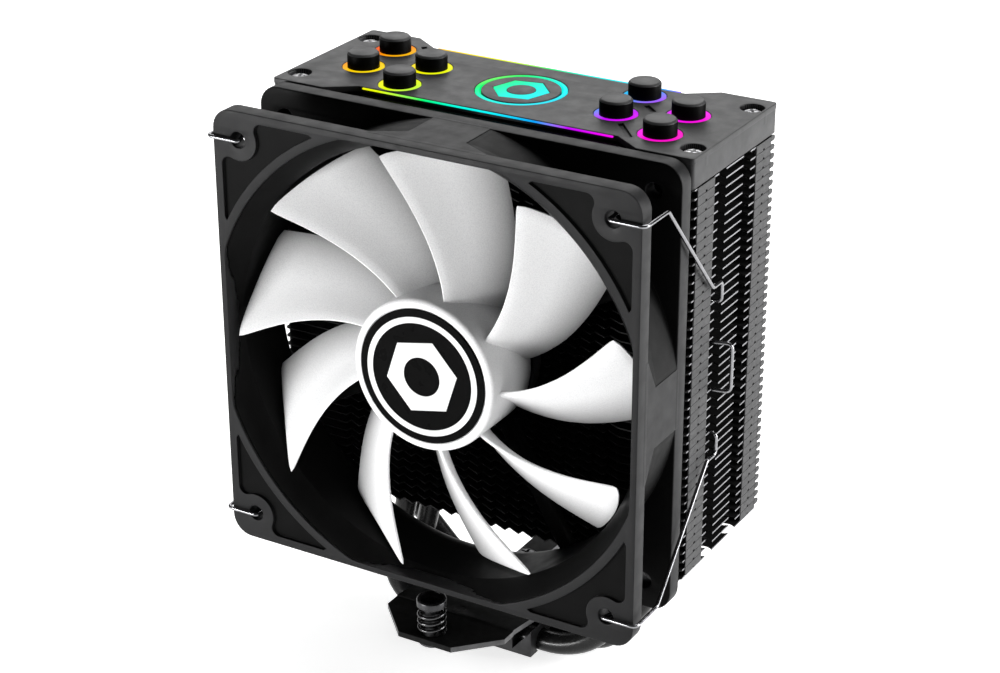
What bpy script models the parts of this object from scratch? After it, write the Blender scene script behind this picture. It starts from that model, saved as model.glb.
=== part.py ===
"""Tower cooler for a computer processor: fin stack, four heat pipes, a clipped 120 mm fan,
a lit top cover and a base block with a sprung mounting bar.

Metres, +Z up.  The origin is the middle of the base block's contact face, which rests on the
processor.  The fan blows along +Y, so its face looks along -Y, and X runs across it.
"""
import math

import bmesh
import bpy
from mathutils import Matrix, Vector

MM = 0.001
GAP = 0.3 * MM

# Fan: a standard 120 x 120 x 25 mm axial fan
FAN_SIZE = 120 * MM
FAN_DEPTH = 25 * MM
FAN_FRONT_Y = -49.5 * MM
FAN_Z = 94 * MM
FLANGE = 4.7 * MM
FRAME_CORNER = 5.5 * MM
HOLE_OFFSET = 52.5 * MM
HOLE_R = 2.15 * MM
BORE_R = 58 * MM
BARREL_R = 60.5 * MM
BARREL_LIMIT = 59.95 * MM
STRUT_ANGLES = (-60, 30, 120, 210)
STRUT_W = 4 * MM

# Rotor and motor; depths are counted from the fan's front face
HUB_R = 20.3 * MM
HUB_FRONT = 0.6 * MM
HUB_BACK = 19.4 * MM
HUB_INNER_R = 18.8 * MM
HUB_FLOOR = 2.2 * MM
BLADES = 9
BLADE_TIP_R = 57 * MM
BLADE_SWEEP = 23.5
BLADE_PHASE = 22.3
BLADE_T = 1.5 * MM
SHAFT_R = 1.5 * MM
BEARING_R = 2.9 * MM
TUBE_R = 4.6 * MM
BASE_DISC_DEPTH = 21.3 * MM

# Fin stack
FIN_COUNT = 45
FIN_PITCH = 2.39 * MM
FIN_T = 0.4 * MM
FIN_Z0 = 40.3 * MM
FIN_HALF_X = 60 * MM
FIN_HALF_Y = 22.7 * MM
FIN_NOTCH = 4.1 * MM

# Heat pipes: four pipes side by side in the base, each with one end near the stack's
# middle and one end near its side
PIPE_R = 3 * MM
PIPE_PITCH = 7.67 * MM
PIPE_AXIS_Z = 2.6 * MM
PIPE_INNER_X = 29 * MM
PIPE_OUTER_X = 45 * MM
PIPE_TOP_Z = 156 * MM

# Top cover and its light
COVER_HALF_X = 60 * MM
COVER_HALF_Y = 23.5 * MM
COVER_WAIST_Y = 18 * MM
COVER_TOP = 154 * MM
COVER_PLATE_T = 1.5 * MM
SKIRT_Z = 146.2 * MM
SKIRT_T = 1.2 * MM
LEDGE_Z = 151.7 * MM
RING_R = 5.6 * MM
CAP_R = 4.2 * MM
CAP_TOP = 158 * MM
EMBLEM_R = 11.7 * MM
EMBLEM_INNER_R = 10.5 * MM
COVER_SCREW_X = 56.3 * MM
COVER_SCREW_Y = 16.5 * MM

# Base block and mounting bar
BLOCK_X = 13.3 * MM
BLOCK_Y = 17.7 * MM
BLOCK_TOP = 15 * MM
BAR_HALF_X = 18 * MM
BAR_T = 1.6 * MM
BAR_FLAT_Y = 19 * MM
BAR_BEND_Y = 35.1 * MM
BAR_END_Y = 50.1 * MM
BAR_WAIST_X = 4 * MM
BAR_SCREW_Y = 3.4 * MM
BAR_TAB_TOP = 19 * MM
BAR_CENTRE_TOP = 16.9 * MM
SPRING_SCREW_Y = 46.2 * MM
SLEEVE_R = 2.4 * MM
SCREW_HEAD_R = 3.95 * MM
SCREW_HEAD_Z = 27.4 * MM
SPRING_WIRE_R = 0.5 * MM
SPRING_MEAN_R = 3.4 * MM
SPRING_TURNS = 3.5

# Wire clips that hold the fan on the stack
CLIP_WIRE_R = 0.6 * MM
CLIP_X = 61.2 * MM
CLIP_TIP_X = 52.3 * MM


def start_empty():
    for old in list(bpy.data.objects):
        bpy.data.objects.remove(old, do_unlink=True)
    made = []
    for name in ("cpu_tower_cooler", "cutters"):
        collection = bpy.data.collections.new(name)
        bpy.context.scene.collection.children.link(collection)
        made.append(collection)
    return made


PARTS, CUTTERS = start_empty()


def material(name, color, roughness, metallic=0.0):
    mat = bpy.data.materials.new(name)
    mat.use_nodes = True
    shader = mat.node_tree.nodes["Principled BSDF"]
    shader.inputs["Base Color"].default_value = (*color, 1.0)
    shader.inputs["Roughness"].default_value = roughness
    shader.inputs["Metallic"].default_value = metallic
    mat.diffuse_color = (*color, 1.0)
    return mat


FRAME_BLACK = material("frame_black", (0.035, 0.035, 0.037), 0.55)
BLADE_WHITE = material("blade_white", (0.86, 0.87, 0.88), 0.4)
LABEL_BLACK = material("label_black", (0.012, 0.012, 0.013), 0.35)
COVER_BLACK = material("cover_black", (0.03, 0.03, 0.032), 0.45)
FIN_COATED = material("fin_black_coat", (0.05, 0.05, 0.053), 0.45, 0.6)
PIPE_COATED = material("pipe_black_coat", (0.04, 0.04, 0.043), 0.35, 0.6)
BLOCK_COATED = material("block_black_coat", (0.07, 0.07, 0.074), 0.4, 0.7)
BAR_PAINTED = material("bar_black_paint", (0.06, 0.06, 0.062), 0.4, 0.3)
STEEL = material("polished_steel", (0.72, 0.72, 0.73), 0.2, 1.0)
SPRING_STEEL = material("spring_steel", (0.6, 0.6, 0.62), 0.28, 1.0)
DARK_STEEL = material("dark_steel", (0.2, 0.2, 0.21), 0.35, 1.0)
BRASS = material("bearing_brass", (0.75, 0.56, 0.27), 0.35, 1.0)
MAGNET = material("magnet_ferrite", (0.06, 0.055, 0.055), 0.7)
LAMINATION = material("lamination_steel", (0.42, 0.43, 0.45), 0.4, 1.0)
COPPER = material("copper_wire", (0.72, 0.32, 0.17), 0.35, 1.0)
BOARD_GREEN = material("board_green", (0.03, 0.16, 0.08), 0.5)
DIFFUSER = material("diffuser_milky", (0.85, 0.9, 0.88), 0.5)


# ---------------------------------------------------------------- shape tools

def add(name, data, mat=None, cutter=False):
    ob = bpy.data.objects.new(name, data)
    (CUTTERS if cutter else PARTS).objects.link(ob)
    if cutter:
        ob.hide_render = True
        ob.display_type = "WIRE"
    if mat is not None:
        data.materials.append(mat)
    return ob


def as_mesh(ob, one_face_ends=False):
    """Swap a curve object for a welded mesh object at the same place."""
    bpy.context.view_layer.update()
    graph = bpy.context.evaluated_depsgraph_get()
    mesh = bpy.data.meshes.new_from_object(ob.evaluated_get(graph))
    bm = bmesh.new()
    bm.from_mesh(mesh)
    bmesh.ops.remove_doubles(bm, verts=bm.verts, dist=1e-6)
    bmesh.ops.recalc_face_normals(bm, faces=bm.faces)
    if one_face_ends:
        bmesh.ops.dissolve_limit(bm, angle_limit=0.001, verts=bm.verts, edges=bm.edges)
    bm.to_mesh(mesh)
    bm.free()
    name = ob.name
    ob.name = name + "_curve"
    new = bpy.data.objects.new(name, mesh)
    for collection in ob.users_collection:
        collection.objects.link(new)
    new.matrix_world = ob.matrix_world.copy()
    new.hide_render = ob.hide_render
    new.display_type = ob.display_type
    bpy.data.objects.remove(ob, do_unlink=True)
    return new


def circle(radius, count, x=0.0, y=0.0, turn=0.11):
    points = []
    for i in range(count):
        angle = turn + 2 * math.pi * i / count
        points.append((x + radius * math.cos(angle), y + radius * math.sin(angle)))
    return points


def rounded_rectangle(half_x, half_y, radius, steps=4):
    points = []
    for quarter, (sx, sy) in enumerate(((1, 1), (-1, 1), (-1, -1), (1, -1))):
        for i in range(steps + 1):
            angle = math.pi / 2 * (quarter + i / steps)
            points.append((sx * (half_x - radius) + radius * math.cos(angle),
                           sy * (half_y - radius) + radius * math.sin(angle)))
    return points


def plate(name, loops, low, high, mat=None, cutter=False):
    """A flat sheet between two heights; the first loop is its outline, the rest are holes."""
    data = bpy.data.curves.new(name, "CURVE")
    data.dimensions = "2D"
    data.fill_mode = "BOTH"
    data.extrude = (high - low) / 2
    for loop in loops:
        spline = data.splines.new("POLY")
        spline.points.add(len(loop) - 1)
        for point, (x, y) in zip(spline.points, loop):
            point.co = (x, y, 0.0, 1.0)
        spline.use_cyclic_u = True
    ob = add(name, data, mat, cutter)
    ob.location = (0, 0, (low + high) / 2)
    return as_mesh(ob, one_face_ends=len(loops) == 1)


def turned(name, profile, mat=None, steps=32, cutter=False, closed=False):
    """A profile of (radius, height) pairs, spun round Z; its outer side runs downwards."""
    mesh = bpy.data.meshes.new(name)
    bm = bmesh.new()
    verts = [bm.verts.new((r, 0, h)) for r, h in profile]
    ends = verts[1:] + ([verts[0]] if closed else [])
    for a, b in zip(verts, ends):
        bm.edges.new((a, b))
    bm.to_mesh(mesh)
    bm.free()
    ob = add(name, mesh, mat, cutter)
    screw = ob.modifiers.new("turn", "SCREW")
    screw.steps = steps
    screw.render_steps = steps
    screw.use_merge_vertices = True
    screw.merge_threshold = 1e-6
    screw.use_smooth_shade = True
    return ob


def rod(name, radius, low, high, mat=None, steps=24, cutter=False):
    return turned(name, [(0, high), (radius, high), (radius, low), (0, low)], mat, steps, cutter)


def ring(name, inner, outer, low, high, mat=None, steps=32, cutter=False):
    profile = [(inner, high), (outer, high), (outer, low), (inner, low)]
    return turned(name, profile, mat, steps, cutter, closed=True)


def box(name, low, high, mat=None, cutter=False):
    mesh = bpy.data.meshes.new(name)
    bm = bmesh.new()
    bmesh.ops.create_cube(bm, size=1.0)
    low, high = Vector(low), Vector(high)
    for vert in bm.verts:
        vert.co = Vector([low[i] + (vert.co[i] + 0.5) * (high[i] - low[i]) for i in range(3)])
    bm.to_mesh(mesh)
    bm.free()
    return add(name, mesh, mat, cutter)


def fillet(points, radii, step_degrees=15):
    """A polyline whose inner corners are arcs; radii has one value for each inner corner."""
    path = [Vector(points[0])]
    for i, radius in enumerate(radii, start=1):
        corner = Vector(points[i])
        back = (Vector(points[i - 1]) - corner).normalized()
        ahead = (Vector(points[i + 1]) - corner).normalized()
        turn = math.pi - back.angle(ahead)
        reach = radius * math.tan(turn / 2)
        middle = (back + ahead).normalized()
        centre = corner + middle * (radius / math.cos(turn / 2))
        start = corner + back * reach - centre
        finish = corner + ahead * reach - centre
        count = max(2, round(math.degrees(turn) / step_degrees))
        for k in range(count + 1):
            share = k / count
            arm = start * math.sin((1 - share) * turn) + finish * math.sin(share * turn)
            path.append(centre + arm / math.sin(turn))
    path.append(Vector(points[-1]))
    return path


def wire(name, path, radius, mat, resolution=2):
    data = bpy.data.curves.new(name, "CURVE")
    data.dimensions = "3D"
    data.bevel_depth = radius
    data.bevel_resolution = resolution
    data.use_fill_caps = True
    spline = data.splines.new("POLY")
    spline.points.add(len(path) - 1)
    for point, co in zip(spline.points, path):
        point.co = (*co, 1.0)
    return add(name, data, mat)


def combine(ob, tool, operation):
    modifier = ob.modifiers.new(operation.lower() + "_" + tool.name, "BOOLEAN")
    modifier.operation = operation
    modifier.object = tool
    modifier.solver = "EXACT"


def cut(ob, *tools):
    for tool in tools:
        combine(ob, tool, "DIFFERENCE")


def join(ob, *tools):
    for tool in tools:
        combine(ob, tool, "UNION")


def merge_flats(ob):
    """Take out the edges that Booleans leave across flat faces."""
    modifier = ob.modifiers.new("flat_faces", "DECIMATE")
    modifier.decimate_type = "DISSOLVE"
    modifier.angle_limit = math.radians(0.1)


def bevel(ob, width, segments=2):
    modifier = ob.modifiers.new("edges", "BEVEL")
    modifier.width = width
    modifier.segments = segments
    modifier.limit_method = "ANGLE"
    modifier.angle_limit = math.radians(40)


def on_fan(*obs):
    """Stand objects on the fan's axis: their own +Z then points out of the fan's face."""
    for ob in obs:
        offset = Vector((ob.location.x, -ob.location.z, ob.location.y))
        ob.location = Vector((0, FAN_FRONT_Y, FAN_Z)) + offset
        ob.rotation_euler = (math.pi / 2, 0, 0)


def move(ob, x=0.0, y=0.0, z=0.0):
    ob.location = ob.location + Vector((x, y, z))
    return ob


# ---------------------------------------------------------------- fan

def fan_frame():
    outline = rounded_rectangle(FAN_SIZE / 2, FAN_SIZE / 2, FRAME_CORNER)
    holes = [circle(HOLE_R, 10, sx * HOLE_OFFSET, sy * HOLE_OFFSET)
             for sx in (-1, 1) for sy in (-1, 1)]
    frame = plate("fan_frame", [outline] + holes, -FLANGE, 0, FRAME_BLACK)
    rear = plate("rear_flange", [outline] + holes, -FAN_DEPTH, -FAN_DEPTH + FLANGE, cutter=True)
    barrel = rod("barrel", BARREL_R, -FAN_DEPTH + 1 * MM, -1 * MM, steps=48, cutter=True)
    flats = box("barrel_flats", (-BARREL_LIMIT, -BARREL_LIMIT, -30 * MM),
                (BARREL_LIMIT, BARREL_LIMIT, 5 * MM), cutter=True)
    combine(barrel, flats, "INTERSECT")
    bore = turned("bore", [(0, 1 * MM), (BORE_R + 2 * MM, 1 * MM), (BORE_R + 2 * MM, -0.8 * MM),
                           (BORE_R, -FLANGE), (BORE_R, -FAN_DEPTH - 1 * MM),
                           (0, -FAN_DEPTH - 1 * MM)], steps=48, cutter=True)
    side = 62 * MM
    trim = box("bore_bounds", (-side + 3 * MM, -side + 3 * MM, -30 * MM),
               (side - 3 * MM, side - 3 * MM, 5 * MM), cutter=True)
    combine(bore, trim, "INTERSECT")
    struts = []
    for i, degrees in enumerate(STRUT_ANGLES):
        strut = box("strut_%d" % (i + 1), (18.5 * MM, -STRUT_W / 2, -24.6 * MM),
                    (58.7 * MM, STRUT_W / 2, -21.7 * MM), cutter=True)
        strut.data.transform(turn_about_z(degrees))
        struts.append(strut)
    motor_base = turned("motor_base", [
        (BEARING_R + GAP, -7 * MM), (TUBE_R, -7 * MM), (TUBE_R, -BASE_DISC_DEPTH),
        (20 * MM, -BASE_DISC_DEPTH), (20 * MM, -FAN_DEPTH), (17.6 * MM, -FAN_DEPTH),
        (17.6 * MM, -24.2 * MM), (BEARING_R + GAP, -24.2 * MM)], steps=28, cutter=True, closed=True)
    on_fan(frame, rear, barrel, flats, bore, trim, motor_base, *struts)
    join(frame, rear, barrel)
    cut(frame, bore)
    join(frame, motor_base, *struts)
    merge_flats(frame)


def turn_about_z(degrees):
    return Matrix.Rotation(math.radians(degrees), 4, "Z")


def blade_point(share_r, share_c):
    """A point of one blade's middle surface: from hub to tip, from leading to trailing edge."""
    radius = 19.4 * MM + share_r * (BLADE_TIP_R - 19.4 * MM)
    lead = BLADE_PHASE - BLADE_SWEEP * (1 - share_r)
    chord = 29 - 4.5 * share_r
    angle = math.radians(lead - chord * share_c)
    lead_depth = 4 * MM - 2.2 * MM * share_r
    trail_depth = 18 * MM - 0.8 * MM * share_r
    bow = 1.2 * MM * math.sin(math.pi * share_c)
    depth = lead_depth + (trail_depth - lead_depth) * share_c + bow
    return Vector((radius * math.cos(angle), radius * math.sin(angle), -depth))


def blades(across=3, along=2):
    mesh = bpy.data.meshes.new("blades")
    bm = bmesh.new()
    for index in range(BLADES):
        spin = turn_about_z(360 / BLADES * index)
        rows = []
        for i in range(across + 1):
            rows.append([bm.verts.new(spin @ blade_point(i / across, j / along))
                         for j in range(along + 1)])
        for i in range(across):
            for j in range(along):
                bm.faces.new((rows[i][j], rows[i + 1][j], rows[i + 1][j + 1], rows[i][j + 1]))
    bm.to_mesh(mesh)
    bm.free()
    ob = add("blades", mesh, cutter=True)
    thicken = ob.modifiers.new("thickness", "SOLIDIFY")
    thicken.thickness = BLADE_T
    thicken.offset = 0
    return ob


def fan_rotor():
    rotor = turned("fan_rotor", [
        (0, -HUB_FRONT), (19.2 * MM, -HUB_FRONT), (20 * MM, -HUB_FRONT - 0.4 * MM),
        (HUB_R, -HUB_FRONT - 1.2 * MM), (HUB_R, -HUB_BACK), (0, -HUB_BACK)], BLADE_WHITE, 36)
    vanes = blades()
    hollow = rod("hub_hollow", HUB_INNER_R, -HUB_BACK - 1 * MM, -HUB_FLOOR, steps=36, cutter=True)
    badge_seat = rod("badge_seat", 18.2 * MM, -HUB_FRONT - 0.5 * MM, 1 * MM, steps=28, cutter=True)
    on_fan(rotor, vanes, hollow, badge_seat)
    join(rotor, vanes)
    cut(rotor, hollow, badge_seat)


def motor():
    badge = rod("hub_badge", 17.9 * MM, -HUB_FRONT - 0.2 * MM, -HUB_FRONT + 0.4 * MM,
                LABEL_BLACK, 28)
    yoke = turned("rotor_yoke", [
        (SHAFT_R + 0.25 * MM, -2.5 * MM), (18.5 * MM, -2.5 * MM), (18.5 * MM, -18.5 * MM),
        (17.6 * MM, -18.5 * MM), (17.6 * MM, -3.6 * MM), (SHAFT_R + 0.25 * MM, -3.6 * MM)],
        DARK_STEEL, 28, closed=True)
    magnet = ring("rotor_magnet", 15.2 * MM, 17.3 * MM, -17 * MM, -6 * MM, MAGNET, 24)
    shaft = turned("rotor_shaft", [
        (0, -2.5 * MM), (SHAFT_R, -2.5 * MM), (SHAFT_R, -21.1 * MM), (1.05 * MM, -21.1 * MM),
        (1.05 * MM, -22 * MM), (SHAFT_R, -22 * MM), (SHAFT_R, -22.9 * MM), (0, -22.9 * MM)],
        STEEL, 12)
    snap_ring = ring("shaft_snap_ring", 1.3 * MM, 2.4 * MM, -21.8 * MM, -21.3 * MM, DARK_STEEL, 12)
    bearing = ring("shaft_bearing", SHAFT_R + 0.25 * MM, BEARING_R, -20.6 * MM, -7.4 * MM, BRASS, 14)
    board = ring("motor_circuit_board", TUBE_R + GAP, 13.5 * MM, -20.2 * MM, -19 * MM,
                 BOARD_GREEN, 20)
    rear_label = rod("motor_rear_label", 17.2 * MM, -24.85 * MM, -24.5 * MM, LABEL_BLACK, 24)
    on_fan(badge, yoke, magnet, shaft, snap_ring, bearing, board, rear_label)
    stator()


def stator():
    core = ring("stator_core", TUBE_R + GAP, 7.2 * MM, -14 * MM, -9 * MM, LAMINATION, 20)
    shoes = ring("stator_shoes", 12.6 * MM, 14.3 * MM, -14 * MM, -9 * MM, steps=24, cutter=True)
    slots = []
    arms = []
    for i in range(4):
        arm = box("stator_arm_%d" % (i + 1), (6.4 * MM, -1.6 * MM, -14 * MM),
                  (13.4 * MM, 1.6 * MM, -9 * MM), cutter=True)
        arm.data.transform(turn_about_z(90 * i))
        arms.append(arm)
        slot = box("stator_slot_%d" % (i + 1), (9 * MM, -1.5 * MM, -20 * MM),
                   (18 * MM, 1.5 * MM, -4 * MM), cutter=True)
        slot.data.transform(turn_about_z(90 * i + 45))
        slots.append(slot)
        coil = box("stator_coil_%d" % (i + 1), (7.8 * MM, -3.9 * MM, -16.3 * MM),
                   (12 * MM, 3.9 * MM, -6.7 * MM), COPPER)
        hole = box("coil_hole_%d" % (i + 1), (7 * MM, -1.9 * MM, -14.3 * MM),
                   (13 * MM, 1.9 * MM, -8.7 * MM), cutter=True)
        for piece in (coil, hole):
            piece.data.transform(turn_about_z(90 * i))
        on_fan(coil, hole)
        bevel(coil, 0.9 * MM, 2)
        cut(coil, hole)
    on_fan(core, shoes, *arms, *slots)
    cut(shoes, *slots)
    join(core, *arms, shoes)
    merge_flats(core)


# ---------------------------------------------------------------- fan clips

def fan_clip(name, side):
    """One bent wire: a tip in a fan hole, a run to the fin notch, a finger loop, and back."""
    front_y = FAN_FRONT_Y - CLIP_WIRE_R - GAP
    notch = Vector((58.3 * MM, -8.1 * MM, 0))
    hook_top = 23.7 * MM
    half = [
        (CLIP_TIP_X + 0.2 * MM, FAN_FRONT_Y + 3.2 * MM, HOLE_OFFSET + 0.6 * MM),
        (CLIP_TIP_X, front_y, HOLE_OFFSET),
        (CLIP_X, front_y, HOLE_OFFSET),
        (CLIP_X, FAN_FRONT_Y + 10.6 * MM, HOLE_OFFSET),
        (CLIP_X, -13 * MM, hook_top),
        (CLIP_X, notch.y, hook_top),
        (CLIP_X, notch.y, 18 * MM),
        (notch.x, notch.y, 18 * MM),
        (notch.x, notch.y, 6.5 * MM),
        (64.3 * MM, -6.3 * MM, 6.5 * MM),
    ]
    mirrored = [(x, y, -z) for x, y, z in reversed(half)]
    points = [Vector((side * x, y, FAN_Z + z)) for x, y, z in half + mirrored]
    radii = [bend * MM for bend in (1.2, 1.6, 1.8, 1.8, 1.4, 1.4, 1.2, 1.6, 1.6)]
    radii += radii[::-1]
    wire(name, fillet(points, radii, 45), CLIP_WIRE_R, STEEL, 1)


# ---------------------------------------------------------------- fins and pipes

def pipe_rows():
    """Each pipe's Y and the X of its left and right upright ends."""
    rows = []
    for i in range(4):
        y = (i - 1.5) * PIPE_PITCH
        inner_is_left = i % 2 == 0
        left = -PIPE_INNER_X if inner_is_left else -PIPE_OUTER_X
        right = PIPE_OUTER_X if inner_is_left else PIPE_INNER_X
        rows.append((y, left, right))
    return rows


def pipe_ends():
    return [(x, y) for y, left, right in pipe_rows() for x in (left, right)]


def heat_pipes():
    milled = box("milled_underside", (-70 * MM, -30 * MM, -5 * MM), (70 * MM, 30 * MM, 0),
                 cutter=True)
    for i, (y, left, right) in enumerate(pipe_rows()):
        corners = []
        radii = []
        for x in (left, right):
            side = math.copysign(1, x)
            if abs(x) == PIPE_INNER_X:
                ends = [(x, PIPE_TOP_Z), (x, 36 * MM), (side * 36.4 * MM, PIPE_AXIS_Z)]
                bends = [20 * MM, 10.5 * MM]
            else:
                ends = [(x, PIPE_TOP_Z), (x, 23.7 * MM), (side * 23.9 * MM, PIPE_AXIS_Z)]
                bends = [15 * MM, 22 * MM]
            if x == right:
                ends.reverse()
                bends.reverse()
            corners += [(px, y, pz) for px, pz in ends]
            radii += bends
        pipe = wire("heat_pipe_%d" % (i + 1), fillet(corners, radii, 18), PIPE_R, PIPE_COATED, 3)
        cut(as_mesh(pipe), milled)


def fin_outline():
    notch_x = FIN_HALF_X - FIN_NOTCH
    side = [
        (FIN_HALF_X, -FIN_HALF_Y), (FIN_HALF_X, -11.5 * MM), (notch_x, -8.1 * MM),
        (FIN_HALF_X, -4.8 * MM), (FIN_HALF_X, 4.8 * MM), (notch_x, 8.1 * MM),
        (FIN_HALF_X, 11.5 * MM), (FIN_HALF_X, FIN_HALF_Y),
    ]
    return side + [(-x, -y) for x, y in side]


def core_outline(ends):
    """The four-sided outline round four pipe ends, wide enough for their bores."""
    xs = sorted({x for x, y in ends})
    margin = PIPE_R + GAP + 1 * MM
    outline = []
    for x, sign in ((xs[0], -1), (xs[-1], 1)):
        ys = sorted(y for px, y in ends if px == x)
        column = [(x + sign * margin, ys[0] - margin - 1 * MM),
                  (x + sign * margin, ys[-1] + margin + 1 * MM)]
        outline += column if sign > 0 else column[::-1]
    return outline


def fin_stack():
    stack = plate("fin_stack", [fin_outline()], FIN_Z0, FIN_Z0 + FIN_T, FIN_COATED)
    repeat = stack.modifiers.new("fins", "ARRAY")
    repeat.count = FIN_COUNT
    repeat.use_relative_offset = False
    repeat.use_constant_offset = True
    repeat.constant_offset_displace = (0, 0, FIN_PITCH)
    top = FIN_Z0 + FIN_T + FIN_PITCH * (FIN_COUNT - 1)
    for side in (-1, 1):
        ends = [end for end in pipe_ends() if end[0] * side > 0]
        core = plate("collar_core_%s" % ("left" if side < 0 else "right"), [core_outline(ends)],
                     FIN_Z0 + 0.1 * MM, top - 0.1 * MM, cutter=True)
        join(stack, core)
    for i, (x, y) in enumerate(pipe_ends()):
        bore = move(rod("fin_bore_%d" % (i + 1), PIPE_R + GAP, FIN_Z0 - 1 * MM, top + 1 * MM,
                        steps=12, cutter=True), x, y)
        cut(stack, bore)
    merge_flats(stack)


# ---------------------------------------------------------------- top cover

def cover_outline():
    """Full depth at the two ends and a narrower waist between them."""
    jog = [(45 * MM, COVER_HALF_Y), (37 * MM, COVER_WAIST_Y)]
    corner = fillet([(50 * MM, COVER_HALF_Y, 0), (COVER_HALF_X, COVER_HALF_Y, 0),
                     (COVER_HALF_X, 0, 0)], [2 * MM], 30)[1:-1]
    quarter = jog[::-1] + [(v.x, v.y) for v in corner]
    right = quarter + [(x, -y) for x, y in reversed(quarter)]
    return right + [(-x, -y) for x, y in right]


def cover_screw_places():
    return [(sx * COVER_SCREW_X, sy * COVER_SCREW_Y) for sx in (-1, 1) for sy in (-1, 1)]


def top_cover():
    rings = [circle(RING_R, 16, x, y) for x, y in pipe_ends()]
    emblem = circle(EMBLEM_R + GAP, 28)
    screws = [circle(1.6 * MM, 8, x, y) for x, y in cover_screw_places()]
    cover = plate("top_cover", [cover_outline(), emblem] + rings + screws,
                  COVER_TOP - COVER_PLATE_T, COVER_TOP, COVER_BLACK)
    outer = rounded_rectangle(COVER_HALF_X - 0.1 * MM, COVER_HALF_Y - 0.1 * MM, 2 * MM, 3)
    inner = rounded_rectangle(COVER_HALF_X - SKIRT_T, COVER_HALF_Y - SKIRT_T, 1 * MM, 3)
    skirt = plate("skirt", [outer, inner], SKIRT_Z, COVER_TOP - 0.5 * MM, cutter=True)
    gaps = [strip_outline(37.5 * MM, 19.6 * MM, 26 * MM, side) for side in (-1, 1)]
    ledges = [strip_outline(46 * MM, 19.8 * MM, 22.9 * MM, side) for side in (-1, 1)]
    cut(skirt, plate("light_gaps", gaps, LEDGE_Z, COVER_TOP + 1 * MM, cutter=True))
    join(cover, skirt,
         plate("light_ledges", ledges, LEDGE_Z - 1.3 * MM, LEDGE_Z - 0.1 * MM, cutter=True))
    bosses = [circle(3.55 * MM, 12, x, y) for x, y in cover_screw_places()]
    join(cover, plate("cover_screw_bosses", bosses, COVER_TOP - 2.7 * MM, COVER_TOP - 1 * MM,
                      cutter=True))
    seats = [circle(3.1 * MM, 12, x, y) for x, y in cover_screw_places()]
    cut(cover,
        plate("cover_screw_seats", seats, COVER_TOP - 2.1 * MM, COVER_TOP + 1 * MM, cutter=True),
        plate("cover_screw_holes", screws, COVER_TOP - 4 * MM, COVER_TOP + 1 * MM, cutter=True))
    merge_flats(cover)


def strip_outline(half_x, near_y, far_y, side):
    return [(-half_x, side * near_y), (half_x, side * near_y),
            (half_x, side * far_y), (-half_x, side * far_y)]


def light_diffuser():
    low = 149.6 * MM
    high = COVER_TOP - COVER_PLATE_T - GAP
    holes = [circle(CAP_R + GAP + 0.5 * MM, 12, x, y) for x, y in pipe_ends()]
    sheet = rounded_rectangle(52 * MM, COVER_WAIST_Y - 0.6 * MM, 2 * MM, 2)
    diffuser = plate("light_diffuser", [sheet] + holes, low, high, DIFFUSER)
    guides = [circle(EMBLEM_R, 28), circle(EMBLEM_INNER_R, 28)]
    webs = []
    for x, y in pipe_ends():
        guides += [circle(RING_R - GAP, 14, x, y), circle(CAP_R + GAP, 14, x, y)]
    for side in (-1, 1):
        guides.append(strip_outline(36.2 * MM, COVER_WAIST_Y + GAP, 19.3 * MM, side))
        webs.append(strip_outline(36 * MM, 17 * MM, 18.9 * MM, side))
    join(diffuser, plate("light_webs", webs, low + 0.5 * MM, high - 0.4 * MM, cutter=True),
         plate("light_guides", guides, low + 1 * MM, COVER_TOP, cutter=True))
    merge_flats(diffuser)


def cover_inside():
    bores = [circle(PIPE_R + GAP + 0.1 * MM, 10, x, y) for x, y in pipe_ends()]
    board_outline = rounded_rectangle(51 * MM, 17 * MM, 2 * MM, 2)
    plate("light_circuit_board", [board_outline] + bores, 147.9 * MM, 149.1 * MM, BOARD_GREEN)
    carrier_outline = rounded_rectangle(58.4 * MM, 21.9 * MM, 1.5 * MM, 2)
    carrier = plate("cover_carrier", [carrier_outline] + bores, 146.2 * MM, 147.4 * MM,
                    COVER_BLACK)
    posts = []
    for x, y in cover_screw_places():
        posts += [circle(2.3 * MM, 10, math.copysign(55.9 * MM, x), y), circle(1.5 * MM, 8, x, y)]
    join(carrier, plate("carrier_posts", posts, 147 * MM, 151 * MM, cutter=True))
    merge_flats(carrier)
    head = COVER_TOP - 1.2 * MM
    for i, (x, y) in enumerate(cover_screw_places()):
        screw = turned("cover_screw_%d" % (i + 1), [
            (0, head), (1.8 * MM, head), (2.7 * MM, head - 0.35 * MM),
            (2.7 * MM, head - 0.6 * MM), (1.2 * MM, head - 0.6 * MM),
            (1.2 * MM, 147.6 * MM), (0, 147.6 * MM)], STEEL, 10)
        cut_cross(move(screw, x, y), 2.4 * MM, 0.55 * MM, head - 1.2 * MM)
    plate("emblem_disc", [circle(EMBLEM_INNER_R - GAP, 28)], COVER_TOP - 1.4 * MM, COVER_TOP,
          COVER_BLACK)


def cut_cross(screw, length, width, floor):
    """The crossed driver slots of a screw head."""
    for turn in (0, 1):
        half = (length / 2, width / 2)
        if turn:
            half = half[::-1]
        slot = box("%s_slot_%d" % (screw.name, turn + 1), (-half[0], -half[1], floor),
                   (half[0], half[1], floor + 5 * MM), cutter=True)
        slot.location = screw.location
        cut(screw, slot)


def pipe_caps():
    low = 149.9 * MM
    roof = PIPE_TOP_Z + 0.4 * MM
    profile = [
        (0, CAP_TOP), (CAP_R - 0.5 * MM, CAP_TOP), (CAP_R, CAP_TOP - 0.5 * MM), (CAP_R, low),
        (PIPE_R + GAP, low), (PIPE_R + GAP, roof), (0, roof)]
    for i, (x, y) in enumerate(pipe_ends()):
        move(turned("pipe_cap_%d" % (i + 1), profile, COVER_BLACK, 12), x, y)


# ---------------------------------------------------------------- base

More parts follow.
